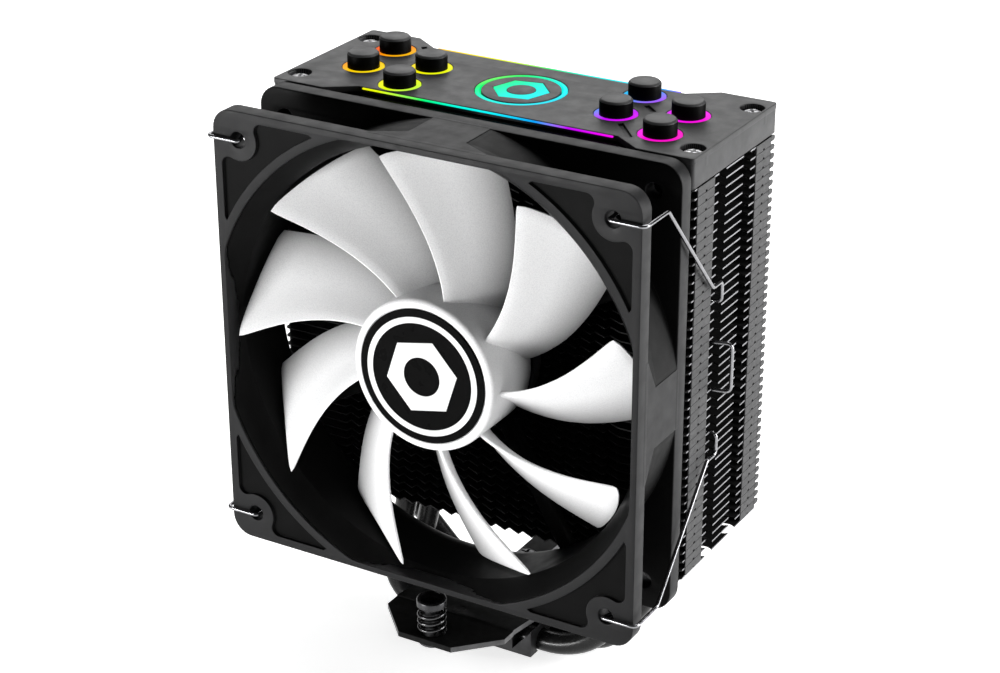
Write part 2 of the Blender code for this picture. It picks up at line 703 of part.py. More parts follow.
def base_block():
    """An extrusion along Y, two slanting teeth on each side, with a tall pad for the bar."""
    half = [(BLOCK_X, 0), (BLOCK_X, 7.8 * MM), (7.6 * MM, 1.2 * MM), (7.6 * MM, 6.5 * MM),
            (4.7 * MM, 3.2 * MM), (4.7 * MM, BLOCK_TOP)]
    outline = half + [(-x, z) for x, z in reversed(half)]
    block = plate("base_block", [outline], -BLOCK_Y, BLOCK_Y, BLOCK_COATED)
    block.rotation_euler = (math.pi / 2, 0, 0)
    block.location = (0, 0, 0)
    for i, (y, left, right) in enumerate(pipe_rows()):
        groove = rod("pipe_groove_%d" % (i + 1), PIPE_R + GAP, -20 * MM, 20 * MM, steps=16,
                     cutter=True)
        groove.rotation_euler = (0, math.pi / 2, 0)
        groove.location = (0, y, PIPE_AXIS_Z)
        cut(block, groove)
    for side in (-1, 1):
        near, far = sorted((side * 7.2 * MM, side * 19 * MM))
        shoulder = box("pad_end_front" if side < 0 else "pad_end_rear", (-6 * MM, near, 8 * MM),
                       (6 * MM, far, 16 * MM), cutter=True)
        cut(block, shoulder)
    for name, y in bar_screw_places():
        hole = rod(name + "_thread", 1.5 * MM, 8 * MM, BLOCK_TOP + 1 * MM, steps=8, cutter=True)
        cut(block, move(hole, 0, y))
    merge_flats(block)


def bar_screw_places():
    return [("bar_screw_front", -BAR_SCREW_Y), ("bar_screw_rear", BAR_SCREW_Y)]


def mounting_bar():
    """A strip along Y with a slim middle, joggled up to a six-sided tab at each end."""
    top = [(-BAR_END_Y, BAR_TAB_TOP), (-BAR_BEND_Y, BAR_TAB_TOP), (-BAR_FLAT_Y, BAR_CENTRE_TOP),
           (BAR_FLAT_Y, BAR_CENTRE_TOP), (BAR_BEND_Y, BAR_TAB_TOP), (BAR_END_Y, BAR_TAB_TOP)]
    profile = top + [(y, z - BAR_T) for y, z in reversed(top)]
    bar = plate("mounting_bar", [profile], -BAR_HALF_X, BAR_HALF_X, BAR_PAINTED)
    bar.rotation_euler = (math.pi / 2, 0, math.pi / 2)
    bar.location = (0, 0, 0)
    tab = [(8 * MM, BAR_END_Y), (BAR_HALF_X, 39.8 * MM)]
    end = [tab[0], tab[1], (BAR_HALF_X + 1 * MM, 39.8 * MM), (BAR_HALF_X + 1 * MM, 60 * MM),
           (8 * MM, 60 * MM)]
    for i, (sx, sy) in enumerate(((1, 1), (-1, 1), (1, -1), (-1, -1))):
        corner = plate("tab_corner_%d" % (i + 1), [[(sx * x, sy * y) for x, y in end]],
                       0, 30 * MM, cutter=True)
        cut(bar, corner)
    waist = [(BAR_WAIST_X, -16 * MM), (BAR_HALF_X + 1 * MM, -24.6 * MM),
             (BAR_HALF_X + 1 * MM, 24.6 * MM), (BAR_WAIST_X, 16 * MM)]
    for side in (-1, 1):
        notch = plate("waist_right" if side > 0 else "waist_left",
                      [[(side * x, y) for x, y in waist]], 0, 30 * MM, cutter=True)
        cut(bar, notch)
    holes = [("spring_hole", SLEEVE_R + 0.35 * MM, SPRING_SCREW_Y), ("peg_hole", 1.35 * MM, 31.7 * MM),
             ("bar_screw_hole", 1.7 * MM, BAR_SCREW_Y)]
    for name, radius, y in holes:
        for side in (-1, 1):
            hole = rod("%s_%s" % (name, "front" if side < 0 else "rear"), radius, 10 * MM,
                       25 * MM, steps=12, cutter=True)
            cut(bar, move(hole, 0, side * y))
    merge_flats(bar)
    for name, y in bar_screw_places():
        head = BAR_CENTRE_TOP + GAP
        screw = turned(name, [
            (0, head + 1.5 * MM), (2.2 * MM, head + 1.5 * MM), (2.8 * MM, head + 0.9 * MM),
            (2.8 * MM, head), (1.2 * MM, head), (1.2 * MM, 8.4 * MM), (0, 8.4 * MM)], STEEL, 10)
        cut_cross(move(screw, 0, y), 3 * MM, 0.7 * MM, head + 0.6 * MM)


def spring_screw(place, y):
    """A captive sleeve screw, the spring under its head and the ring that keeps it in."""
    head = SCREW_HEAD_Z
    screw = turned("spring_screw_" + place, [
        (0, head + 0.9 * MM), (2.9 * MM, head + 0.9 * MM), (3.2 * MM, head + 2.1 * MM),
        (SCREW_HEAD_R - 0.3 * MM, head + 2.1 * MM), (SCREW_HEAD_R, head + 1.8 * MM),
        (SCREW_HEAD_R, head), (SLEEVE_R, head), (SLEEVE_R, 17.3 * MM), (1.9 * MM, 17.3 * MM),
        (1.9 * MM, 16.2 * MM), (SLEEVE_R, 16.2 * MM), (SLEEVE_R, 15.6 * MM),
        (1.3 * MM, 15.6 * MM), (1.3 * MM, 24 * MM), (0, 24 * MM)], STEEL, 14)
    cut_cross(move(screw, 0, y), 4.4 * MM, 0.9 * MM, head + 0.2 * MM)
    keeper = ring("retaining_ring_" + place, 2.15 * MM, 3.6 * MM, 16.45 * MM, 17.1 * MM,
                  DARK_STEEL, 14)
    move(keeper, 0, y)
    low = BAR_TAB_TOP + GAP + SPRING_WIRE_R
    high = head - GAP - SPRING_WIRE_R
    steps = round(SPRING_TURNS * 11)
    path = []
    for i in range(steps + 1):
        angle = 2 * math.pi * SPRING_TURNS * i / steps
        path.append((SPRING_MEAN_R * math.cos(angle), SPRING_MEAN_R * math.sin(angle),
                     low + (high - low) * i / steps))
    move(wire("screw_spring_" + place, path, SPRING_WIRE_R, SPRING_STEEL, 1), 0, y)


def main():
    fan_frame()
    fan_rotor()
    motor()
    fan_clip("fan_clip_left", -1)
    fan_clip("fan_clip_right", 1)
    fin_stack()
    heat_pipes()
    top_cover()
    light_diffuser()
    cover_inside()
    pipe_caps()
    base_block()
    mounting_bar()
    spring_screw("front", -SPRING_SCREW_Y)
    spring_screw("rear", SPRING_SCREW_Y)


main()
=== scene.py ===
"""The looks of the tower cooler: every visible piece in detail, its materials, and the studio.

Metres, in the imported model's own frame.  The fan faces -Y and +Z is up.  Pieces of the fan are
made lying flat, with their +Z out of the fan's face, and are then stood up by on_fan().
"""

import colorsys
import math

import bmesh
import bpy
from mathutils import Matrix, Vector


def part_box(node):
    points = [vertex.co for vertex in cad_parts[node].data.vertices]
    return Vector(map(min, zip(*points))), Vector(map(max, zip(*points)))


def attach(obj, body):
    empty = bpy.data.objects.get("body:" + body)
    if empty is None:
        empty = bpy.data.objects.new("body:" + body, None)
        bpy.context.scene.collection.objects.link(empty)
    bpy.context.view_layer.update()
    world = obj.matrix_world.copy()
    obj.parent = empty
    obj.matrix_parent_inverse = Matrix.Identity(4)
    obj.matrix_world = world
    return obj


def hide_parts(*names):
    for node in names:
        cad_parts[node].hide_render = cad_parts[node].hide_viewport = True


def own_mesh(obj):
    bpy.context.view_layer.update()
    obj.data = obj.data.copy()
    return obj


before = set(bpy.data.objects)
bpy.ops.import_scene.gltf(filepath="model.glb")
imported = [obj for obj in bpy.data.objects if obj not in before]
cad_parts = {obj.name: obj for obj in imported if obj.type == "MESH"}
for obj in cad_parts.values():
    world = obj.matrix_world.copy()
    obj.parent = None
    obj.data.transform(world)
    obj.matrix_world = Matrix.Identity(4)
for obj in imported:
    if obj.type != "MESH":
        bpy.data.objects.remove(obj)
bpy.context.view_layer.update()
MM = 0.001

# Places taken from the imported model
FAN_LOW, FAN_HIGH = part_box("fan_frame")
FAN_CENTRE = Vector((0, FAN_LOW.y, (FAN_LOW.z + FAN_HIGH.z) / 2))
FAN_DEPTH = FAN_HIGH.y - FAN_LOW.y
FAN_HALF = FAN_HIGH.x
COVER_LOW, COVER_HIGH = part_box("top_cover")
COVER_TOP = COVER_HIGH.z
STACK_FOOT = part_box("fin_stack")[0].z
BLOCK_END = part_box("base_block")[1].y
BAR_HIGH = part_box("mounting_bar")[1]


def middle(node):
    low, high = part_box(node)
    return (low + high) / 2


CAPS = [middle("pipe_cap_%d" % (i + 1)) for i in range(8)]
COVER_SCREWS = [middle("cover_screw_%d" % (i + 1)) for i in range(4)]

# Fan frame, counted from its front face
FLANGE = 4.7 * MM
FRAME_CORNER = 5.5 * MM
HOLE_OFFSET = 52.5 * MM
HOLE_R = 2.15 * MM
THROAT_R = 62.3 * MM
THROAT_LIMIT = 58.3 * MM
BORE_R = 58 * MM
BARREL_R = 60.5 * MM
POCKET_LIMIT = 57.7 * MM
POCKET_R = 64.6 * MM
POCKET_DEPTH = 0.9 * MM
LAND_R = 5.5 * MM
LAND_FILLET = 2.2 * MM
WEB_WIDE = 16.3 * MM
WEB_SLIM = 8.1 * MM
STRUT_ANGLES = (-60, 30, 120, 210)

# Rotor; its angles are in degrees
HUB_FRONT = 0.6 * MM
BLADES = 9
BLADE_TIP_R = 57 * MM
BLADE_ROOT_R = 19.4 * MM
BLADE_PHASE = 22.3
BLADE_SWEEP = 26.0

# Clips: the wire's middle stands ahead of the fan's face
CLIP_WIRE_R = 0.5 * MM
CLIP_AHEAD = 0.9 * MM
CLIP_X = 61.2 * MM
CLIP_TIP_X = 52.3 * MM

# Fins and pipes; a pipe end has its elbow's height, its foot's x and its two bend radii
FIN_COUNT = 45
FIN_PITCH = 2.39 * MM
FIN_T = 0.4 * MM
FIN_FRONT = -22.7 * MM
TAB_EDGES = ((-20.7 * MM, -11.6 * MM), (12 * MM, 20.5 * MM))
PIPE_R = 3 * MM
PIPE_AXIS_Z = 2.6 * MM
PIPE_INNER_X = 29 * MM
PIPE_TOP_Z = 156 * MM
PIPE_INNER_END = (36 * MM, 36.4 * MM, 20 * MM, 10.5 * MM)
PIPE_OUTER_END = (23.7 * MM, 23.9 * MM, 15 * MM, 22 * MM)


# ---------------------------------------------------------------- materials

class Surface:
    """A material under construction: a Principled shader and the nodes that feed it."""

    def __init__(self, name):
        self.mat = bpy.data.materials.new(name)
        self.mat.use_nodes = True
        self.shader = self.mat.node_tree.nodes["Principled BSDF"]
        self.coords = self.node("TexCoord").outputs["Object"]

    def feed(self, node, inputs):
        """Set or link a node's inputs; an underscore in a key stands for a blank."""
        for key, value in inputs.items():
            socket = node.inputs[key.replace("_", " ")]
            if isinstance(value, bpy.types.NodeSocket):
                self.mat.node_tree.links.new(value, socket)
            else:
                socket.default_value = value

    def node(self, kind, **inputs):
        node = self.mat.node_tree.nodes.new("ShaderNode" + kind)
        self.feed(node, inputs)
        return node

    def set(self, **inputs):
        self.feed(self.shader, inputs)

    def noise(self, scale, detail=3.0, stretch=None):
        source = self.coords
        if stretch is not None:
            source = self.node("Mapping", Vector=source, Scale=stretch).outputs["Vector"]
        return self.node("TexNoise", Vector=source, Scale=scale, Detail=detail).outputs["Fac"]

    def ramp(self, source, stops):
        node = self.node("ValToRGB", Fac=source)
        elements = node.color_ramp.elements
        while len(elements) < len(stops):
            elements.new(0.5)
        for element, (share, color) in zip(elements, stops):
            element.position = share
            element.color = (*color, 1.0)
        return node.outputs["Color"]

    def spread(self, source, low, high):
        """A noise's usual span of values, spread from low to high."""
        return self.node("MapRange", Value=source, From_Min=0.3, From_Max=0.7, To_Min=low,
                         To_Max=high).outputs["Result"]

    def relief(self, height, distance, strength=1.0, rounding=None):
        """Fine relief from a height; rounding softens the mesh's sharp edges by that radius."""
        bump = self.node("Bump", Height=height, Strength=strength, Distance=distance)
        if rounding is not None:
            bevel = self.node("Bevel", Radius=rounding)
            bevel.samples = 4
            self.feed(bump, {"Normal": bevel.outputs["Normal"]})
        self.set(Normal=bump.outputs["Normal"])


def tint(color, factor):
    return tuple(min(1.0, c * factor) for c in color)


def moulded_plastic(name, color, roughness=0.5, grain=0.02 * MM, rounding=0.35 * MM,
                    gloss=0.3):
    """Black or coloured moulded plastic: cloudy tone, spark-eroded grain, soft edges."""
    surface = Surface(name)
    cloud = surface.noise(90, 4)
    surface.relief(surface.noise(2600, 3), grain, 0.6, rounding)
    surface.set(
        Base_Color=surface.ramp(cloud, [(0.3, tint(color, 0.85)), (0.7, tint(color, 1.15))]),
        Roughness=surface.spread(surface.noise(260, 5), roughness - 0.06, roughness + 0.06),
        Specular_IOR_Level=gloss)
    return surface.mat


def coated_metal(name, color, roughness=0.38, metallic=0.35, rounding=None, stretch=None,
                 gloss=0.3):
    """Metal under a thin black coat: faint streaks along the rolling direction."""
    surface = Surface(name)
    streak = surface.noise(400, 4, stretch)
    surface.relief(surface.noise(1800, 4, stretch), 0.01 * MM, 0.5, rounding)
    surface.set(
        Base_Color=surface.ramp(streak, [(0.3, tint(color, 0.8)), (0.7, tint(color, 1.3))]),
        Roughness=surface.spread(surface.noise(700, 3), roughness - 0.07, roughness + 0.07),
        Metallic=metallic, Specular_IOR_Level=gloss)
    return surface.mat


def bare_metal(name, color, roughness=0.2, stretch=None, rounding=None, metallic=1.0):
    surface = Surface(name)
    tone = surface.noise(500, 3)
    polish = surface.noise(900, 4, stretch)
    surface.relief(surface.noise(2200, 3, stretch), 0.008 * MM, 0.5, rounding)
    surface.set(
        Base_Color=surface.ramp(tone, [(0.35, tint(color, 0.88)), (0.65, tint(color, 1.08))]),
        Roughness=surface.spread(polish, roughness - 0.06, roughness + 0.1),
        Metallic=metallic)
    return surface.mat


def frosted_white():
    """Blade plastic: white with a fine sandy grain; its colour carries painted shade, greyer
    towards the back of the fan where the frame and the next blades would shadow it.
    """
    surface = Surface("blade_white")
    grain = surface.ramp(surface.noise(3600, 3), [(0.3, (0.86, 0.86, 0.87)),
                                                  (0.62, (1.0, 1.0, 1.0))])
    axes = surface.node("SeparateXYZ", Vector=surface.coords)
    # painted shade: the grain is darkened with depth behind the fan's face, standing in for the
    # shadow of the frame and the blades
    depth = surface.node("MapRange", Value=axes.outputs["Y"], To_Min=1.0, To_Max=0.1,
                         From_Min=FAN_CENTRE.y + 9 * MM, From_Max=FAN_CENTRE.y + 20.5 * MM)
    depth.interpolation_type = "SMOOTHSTEP"
    shade = surface.node("VectorMath", Vector=grain)
    shade.operation = "SCALE"
    surface.feed(shade, {"Scale": depth.outputs["Result"]})
    surface.relief(surface.noise(3200, 4), 0.02 * MM, 0.5)
    surface.set(Base_Color=shade.outputs["Vector"], Specular_IOR_Level=0.2,
                Roughness=surface.spread(surface.noise(800, 3), 0.5, 0.62))
    return surface.mat


def hue(share):
    return colorsys.hsv_to_rgb(share, 1.0, 1.0)


def light_glow():
    """Lit plastic whose colour runs through the rainbow across the cover."""
    surface = Surface("light_glow")
    across = surface.node("VectorMath", Vector=surface.coords)
    across.operation = "DOT_PRODUCT"
    across.inputs[1].default_value = (1.0, -0.45, 0.0)
    reach = 55
    along = surface.node("MapRange", Value=across.outputs["Value"], From_Min=-reach * MM,
                         From_Max=reach * MM)
    shimmer = surface.node("Math")
    shimmer.operation = "MULTIPLY_ADD"
    shimmer.inputs[1].default_value = 0.02
    links = surface.mat.node_tree.links
    links.new(surface.noise(160, 2), shimmer.inputs[0])
    links.new(along.outputs["Result"], shimmer.inputs[2])
    shades = [(-53, 0.02), (-42, 0.105), (-31, 0.15), (-22, 0.2), (-10, 0.36), (0, 0.46),
              (10, 0.51), (23, 0.61), (32, 0.76), (43, 0.84), (53, 0.9)]
    stops = [((x + reach) / (2 * reach) + 0.01, hue(share)) for x, share in shades]
    dark = [(0.0, (0.01, 0.01, 0.01)), (1.0, (0.015, 0.015, 0.015))]
    surface.set(Emission_Color=surface.ramp(shimmer.outputs["Value"], stops),
                Emission_Strength=1.0,
                Base_Color=surface.ramp(shimmer.outputs["Value"], dark),
                Roughness=surface.spread(surface.noise(900), 0.4, 0.5),
                Specular_IOR_Level=0.02)
    return surface.mat


def circuit_board():
    surface = Surface("board_green")
    cells = surface.node("TexBrick", Vector=surface.coords, Scale=420, Mortar_Size=0.03,
                         Color1=(0.02, 0.13, 0.06, 1), Color2=(0.03, 0.19, 0.09, 1),
                         Mortar=(0.06, 0.3, 0.16, 1))
    surface.relief(cells.outputs["Fac"], 0.03 * MM, 0.5)
    surface.set(Base_Color=cells.outputs["Color"],
                Roughness=surface.spread(surface.noise(600), 0.35, 0.5))
    return surface.mat


def copper_windings():
    """Copper whose relief runs in turns round the coil."""
    surface = Surface("copper_wire")
    wave = surface.node("TexWave", Vector=surface.coords, Scale=700, Distortion=0.6)
    wave.bands_direction = "Y"
    turns = wave.outputs["Fac"]
    surface.relief(turns, 0.1 * MM, 0.8)
    surface.set(Base_Color=surface.ramp(turns, [(0.0, (0.35, 0.12, 0.05)),
                                                (1.0, (0.85, 0.42, 0.24))]),
                Roughness=surface.spread(surface.noise(900), 0.28, 0.4), Metallic=1.0)
    return surface.mat


FRAME_BLACK = moulded_plastic("frame_black", (0.012, 0.012, 0.0125), 0.48, gloss=0.14)
# darker and smoother than frame_black, for the pocket floors, bell mouth, bore and struts
FRAME_DARK_SMOOTH = moulded_plastic("frame_dark_smooth", (0.005, 0.005, 0.005), 0.4, 0.004 * MM,
                               gloss=0.03)
FRAME_DRUM = moulded_plastic("frame_drum", (0.006, 0.006, 0.006), 0.5, gloss=0.06)
BLADE_WHITE = frosted_white()
LABEL_BLACK = moulded_plastic("label_black", (0.002, 0.002, 0.002), 0.3, 0.005 * MM, gloss=0.03)
LABEL_WHITE = moulded_plastic("label_white", (0.95, 0.95, 0.95), 0.4, 0.005 * MM)
COVER_BLACK = moulded_plastic("cover_black", (0.03, 0.03, 0.031), 0.45, 0.02 * MM, 0.25 * MM,
                              0.25)
CAP_BLACK = moulded_plastic("cap_black", (0.002, 0.002, 0.002), 0.45, 0.008 * MM, 0.1 * MM, 0.04)
CAP_FACE = moulded_plastic("cap_face", (0.035, 0.035, 0.036), 0.45, 0.01 * MM, 0.1 * MM, 0.3)
FIN_COATED = coated_metal("fin_black_coat", (0.012, 0.012, 0.012), 0.5, 0.1,
                          stretch=(1, 0.15, 1), gloss=0.08)
TAB_COATED = coated_metal("tab_black_coat", (0.035, 0.035, 0.036), 0.45, 0.2,
                          stretch=(1, 0.15, 1), gloss=0.2)
FIN_EDGE = coated_metal("fin_cut_edge", (0.2, 0.2, 0.21), 0.4, 0.4)
PIPE_COATED = coated_metal("pipe_black_coat", (0.008, 0.008, 0.008), 0.25, 0.1, gloss=0.25)
BLOCK_COATED = coated_metal("block_black_coat", (0.035, 0.035, 0.036), 0.36, 0.5, 0.15 * MM,
                            (1, 0.08, 1))
BAR_PAINTED = coated_metal("bar_black_paint", (0.009, 0.009, 0.009), 0.62, 0.0, 0.15 * MM,
                           gloss=0.06)
# painted highlight: the bar's side faces get this lighter, half-metallic grey for the light they
# catch
BAR_SIDE_HIGHLIGHT = coated_metal("bar_side_painted_highlight", (0.08, 0.08, 0.082), 0.4, 0.3, 0.15 * MM)
SCREW_BLACK = bare_metal("screw_black", (0.06, 0.06, 0.062), 0.3, rounding=0.15 * MM)
SCREW_ZINC = bare_metal("screw_zinc", (0.85, 0.85, 0.86), 0.45, metallic=0.5)
STEEL = bare_metal("polished_steel", (0.26, 0.26, 0.27), 0.16)
SPRING_STEEL = bare_metal("spring_steel", (0.09, 0.09, 0.092), 0.2)
DARK_STEEL = bare_metal("dark_steel", (0.1, 0.1, 0.105), 0.35, rounding=0.1 * MM)
BRASS = bare_metal("bearing_brass", (0.72, 0.53, 0.26), 0.35)
MAGNET = moulded_plastic("magnet_ferrite", (0.05, 0.045, 0.045), 0.65, 0.03 * MM)
LAMINATION = bare_metal("lamination_steel", (0.4, 0.41, 0.43), 0.35, (0.05, 1, 0.05))
COPPER = copper_windings()
BOARD = circuit_board()
GLOW = light_glow()
MILKY = moulded_plastic("diffuser_milky", (0.7, 0.74, 0.73), 0.5, 0.005 * MM)


# ---------------------------------------------------------------- shape tools

def linked(name, data):
    """A new object in the scene."""
    ob = bpy.data.objects.new(name, data)
    bpy.context.scene.collection.objects.link(ob)
    return ob


def add(name, data, mat):
    data.materials.append(mat)
    return linked(name, data)


def built(name, bm, mat):
    """The object whose skin is drawn in bm, with its faces turned outwards."""
    bmesh.ops.recalc_face_normals(bm, faces=bm.faces)
    mesh = bpy.data.meshes.new(name)
    bm.to_mesh(mesh)
    bm.free()
    return add(name, mesh, mat)


def smooth(ob, degrees=35):
    ob.data.shade_smooth()
    ob.data.set_sharp_from_angle(angle=math.radians(degrees))
    return ob


def baked(ob):
    """The object with its modifiers applied, or its curve turned into a welded mesh."""
    bpy.context.view_layer.update()
    graph = bpy.context.evaluated_depsgraph_get()
    mesh = bpy.data.meshes.new_from_object(ob.evaluated_get(graph))
    bm = bmesh.new()
    bm.from_mesh(mesh)
    bmesh.ops.remove_doubles(bm, verts=bm.verts, dist=1e-6)
    bmesh.ops.recalc_face_normals(bm, faces=bm.faces)
    bm.to_mesh(mesh)
    bm.free()
    name = ob.name
    matrix = ob.matrix_world.copy()
    bpy.data.objects.remove(ob, do_unlink=True)
    mesh.name = name
    new = linked(name, mesh)
    new.matrix_world = matrix
    return new


def split_creases(ob, degrees):
    """Part the skin along its creases, so that smoothing doesn't run across them."""
    bm = bmesh.new()
    bm.from_mesh(ob.data)
    edges = [edge for edge in bm.edges
             if len(edge.link_faces) == 2 and edge.calc_face_angle() > math.radians(degrees)]
    bmesh.ops.split_edges(bm, edges=edges)
    bm.to_mesh(ob.data)
    bm.free()
    return ob


def joined(name, obs):
    """One object from several, its vertices in the common frame and its material slots kept."""
    bpy.context.view_layer.update()
    mesh = bpy.data.meshes.new(name)
    materials = []
    bm = bmesh.new()
    for ob in obs:
        ob.data.transform(ob.matrix_world)
        start = len(bm.faces)
        slots = []
        for mat in ob.data.materials:
            if mat not in materials:
                materials.append(mat)
            slots.append(materials.index(mat))
        bm.from_mesh(ob.data)
        bm.faces.ensure_lookup_table()
        for face in bm.faces[start:]:
            face.material_index = slots[face.material_index]
        bpy.data.objects.remove(ob, do_unlink=True)
    bm.to_mesh(mesh)
    bm.free()
    for mat in materials:
        mesh.materials.append(mat)
    return linked(name, mesh)


def mm(*points):
    """A list of points given in millimetres."""
    return [tuple(value * MM for value in point) for point in points]


def circle(radius, count, x=0.0, y=0.0):
    return [(x + radius * math.cos(2 * math.pi * (i + 0.3) / count),
             y + radius * math.sin(2 * math.pi * (i + 0.3) / count)) for i in range(count)]


def arc(cx, cy, radius, start, finish, count):
    points = []
    for i in range(count + 1):
        angle = math.radians(start + (finish - start) * i / count)
        points.append((cx + radius * math.cos(angle), cy + radius * math.sin(angle)))
    return points


def hexagon(radius):
    return arc(0, 0, radius, 12, 312, 5)


def rounded_rectangle(half_x, half_y, radius, steps=8):
    points = []
    for quarter, (sx, sy) in enumerate(((1, 1), (-1, 1), (-1, -1), (1, -1))):
        points += arc(sx * (half_x - radius), sy * (half_y - radius), radius, 90 * quarter,
                      90 * quarter + 90, steps)
    return points


def squared(angle, radius, limit):
    """A ring's point at an angle, drawn in where the ring would pass its flat sides."""
    c, s = math.cos(angle), math.sin(angle)
    r = min(radius, limit / max(abs(c), abs(s)))
    return r * c, r * s


def plate(name, loops, low, high, mat, edge=0.0):
    """A flat sheet between two heights with rounded edges; later loops are holes."""
    data = bpy.data.curves.new(name, "CURVE")
    data.dimensions = "2D"
    data.fill_mode = "BOTH"
    data.extrude = (high - low) / 2 - edge
    data.bevel_depth = edge
    data.bevel_resolution = 2
    data.offset = -edge
    for loop in loops:
        spline = data.splines.new("POLY")
        spline.points.add(len(loop) - 1)
        for point, (x, y) in zip(spline.points, loop):
            point.co = (x, y, 0.0, 1.0)
        spline.use_cyclic_u = True
    ob = add(name, data, mat)
    ob.location = (0, 0, (low + high) / 2)
    return baked(ob)


def lathe(name, profile, mat, steps=48, limit=math.inf, closed=False):
    """Rings of (radius, height) round Z, run down the outside; limit squares them off."""
    bm = bmesh.new()
    rows = []
    for r, h in profile:
        if r < 1e-7:
            rows.append([bm.verts.new((0, 0, h))] * steps)
        else:
            rows.append([bm.verts.new((*squared(2 * math.pi * i / steps, r, limit), h))
                         for i in range(steps)])
    pairs = list(zip(rows, rows[1:]))
    if closed:
        pairs.append((rows[-1], rows[0]))
    for a, b in pairs:
        for i in range(steps):
            j = (i + 1) % steps
            corners = []
            for vert in (a[i], b[i], b[j], a[j]):
                if vert not in corners:
                    corners.append(vert)
            if len(corners) > 2:
                bm.faces.new(corners)
    return built(name, bm, mat)


def turned(name, origin, profile, mat, steps, closed=False):
    """A lathe whose rings are in millimetres, counted from the origin."""
    ob = lathe(name, mm(*profile), mat, steps, closed=closed)
    ob.data.transform(Matrix.Translation(origin))
    return ob


def box(name, low, high, mat, edge=0.0):
    bm = bmesh.new()
    bmesh.ops.create_cube(bm, size=1.0)
    low, high = Vector(low), Vector(high)
    for vert in bm.verts:
        vert.co = Vector([low[i] + (vert.co[i] + 0.5) * (high[i] - low[i]) for i in range(3)])
    if edge:
        bmesh.ops.bevel(bm, geom=bm.edges[:], offset=edge, segments=2, profile=0.5,
                        affect="EDGES")
    return built(name, bm, mat)


def side_bar(name, side, half_x, span_y, span_z, mat, edge=0.0):
    """A bar along X, in front of the middle (side -1) or behind it (side 1)."""
    near, far = sorted(side * y for y in span_y)
    low, high = span_z
    return box(name, (-half_x, near, low), (half_x, far, high), mat, edge)


def fillet(points, radii, step_degrees=8):
    """A polyline whose inner corners are arcs; radii has one value for each inner corner."""
    path = [Vector(points[0])]
    for i, radius in enumerate(radii, start=1):
        corner = Vector(points[i])
        back = (Vector(points[i - 1]) - corner).normalized()
        ahead = (Vector(points[i + 1]) - corner).normalized()
        turn = math.pi - back.angle(ahead)
        reach = radius * math.tan(turn / 2)
        centre = corner + (back + ahead).normalized() * (radius / math.cos(turn / 2))
        start = corner + back * reach - centre
        finish = corner + ahead * reach - centre
        count = max(3, round(math.degrees(turn) / step_degrees))
        for k in range(count + 1):
            share = k / count
            arm = start * math.sin((1 - share) * turn) + finish * math.sin(share * turn)
            path.append(centre + arm / math.sin(turn))
    path.append(Vector(points[-1]))
    return path


def wire(name, path, radius, mat, resolution=4):
    data = bpy.data.curves.new(name, "CURVE")
    data.dimensions = "3D"
    data.bevel_depth = radius
    data.bevel_resolution = resolution
    data.use_fill_caps = True
    spline = data.splines.new("POLY")
    spline.points.add(len(path) - 1)
    for point, co in zip(spline.points, path):
        point.co = (*co, 1.0)
    return smooth(baked(add(name, data, mat)))


def cut(ob, tool):
    """Take the tool's shape out of the object for good."""
    modifier = ob.modifiers.new("cut", "BOOLEAN")
    modifier.operation = "DIFFERENCE"
    modifier.object = tool
    modifier.solver = "EXACT"
    new = baked(ob)
    bpy.data.objects.remove(tool, do_unlink=True)
    return new


def on_fan(ob):
    ob.data.transform(Matrix.Translation(FAN_CENTRE) @ Matrix.Rotation(math.pi / 2, 4, "X")
                      @ ob.matrix_world)
    ob.matrix_world = Matrix.Identity(4)
    return ob


def place(ob, body, slot, *nodes):
    """The finished piece rides on its body and stands for its CAD nodes."""
    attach(ob, body)
    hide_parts(*nodes)


# ---------------------------------------------------------------- fan

def throat_loop(count=160):
    """A circle squared off at the frame's flat sides."""
    return [squared(2 * math.pi * (i + 0.5) / count, THROAT_R, THROAT_LIMIT)
            for i in range(count)]


def land_contour():
    """The raised land round a screw hole, from the top border round to the side border."""
    reach = LAND_R + LAND_FILLET
    drop = POCKET_LIMIT - LAND_FILLET - HOLE_OFFSET
    shift = math.sqrt(reach ** 2 - drop ** 2)
    meet = math.degrees(math.atan2(drop, -shift))
    top = arc(HOLE_OFFSET - shift, HOLE_OFFSET + drop, LAND_FILLET, 90, meet - 180, 6)
    round_hole = arc(HOLE_OFFSET, HOLE_OFFSET, LAND_R, meet, 450 - meet, 16)
    side = [(y, x) for x, y in reversed(top)]
    return top + round_hole[1:-1] + side


def pocket_loop(sx, sy):
    """One corner pocket between the border, the throat's lip and the hole's land."""
    limit = POCKET_LIMIT
    edge_angle = math.degrees(math.acos(limit / POCKET_R)) + 1.2
    inner = arc(0, 0, POCKET_R, edge_angle, 90 - edge_angle, 24)
    loop = inner[::-1] + [(limit, inner[0][1] + 1 * MM)] + land_contour()[::-1]
    loop.append((inner[-1][0] + 1 * MM, limit))
    return [(sx * x, sy * y) for x, y in loop]


def smooth_floors(ob, floors):
    """The level faces that lie at the given heights take the darker, smoother material."""
    ob.data.materials.append(FRAME_DARK_SMOOTH)
    for face in ob.data.polygons:
        height = face.center.z + ob.location.z
        gap = min(abs(height - level) for level in floors)
        if abs(face.normal.z) > 0.9 and gap < 0.05 * MM:
            face.material_index = 1
    return ob


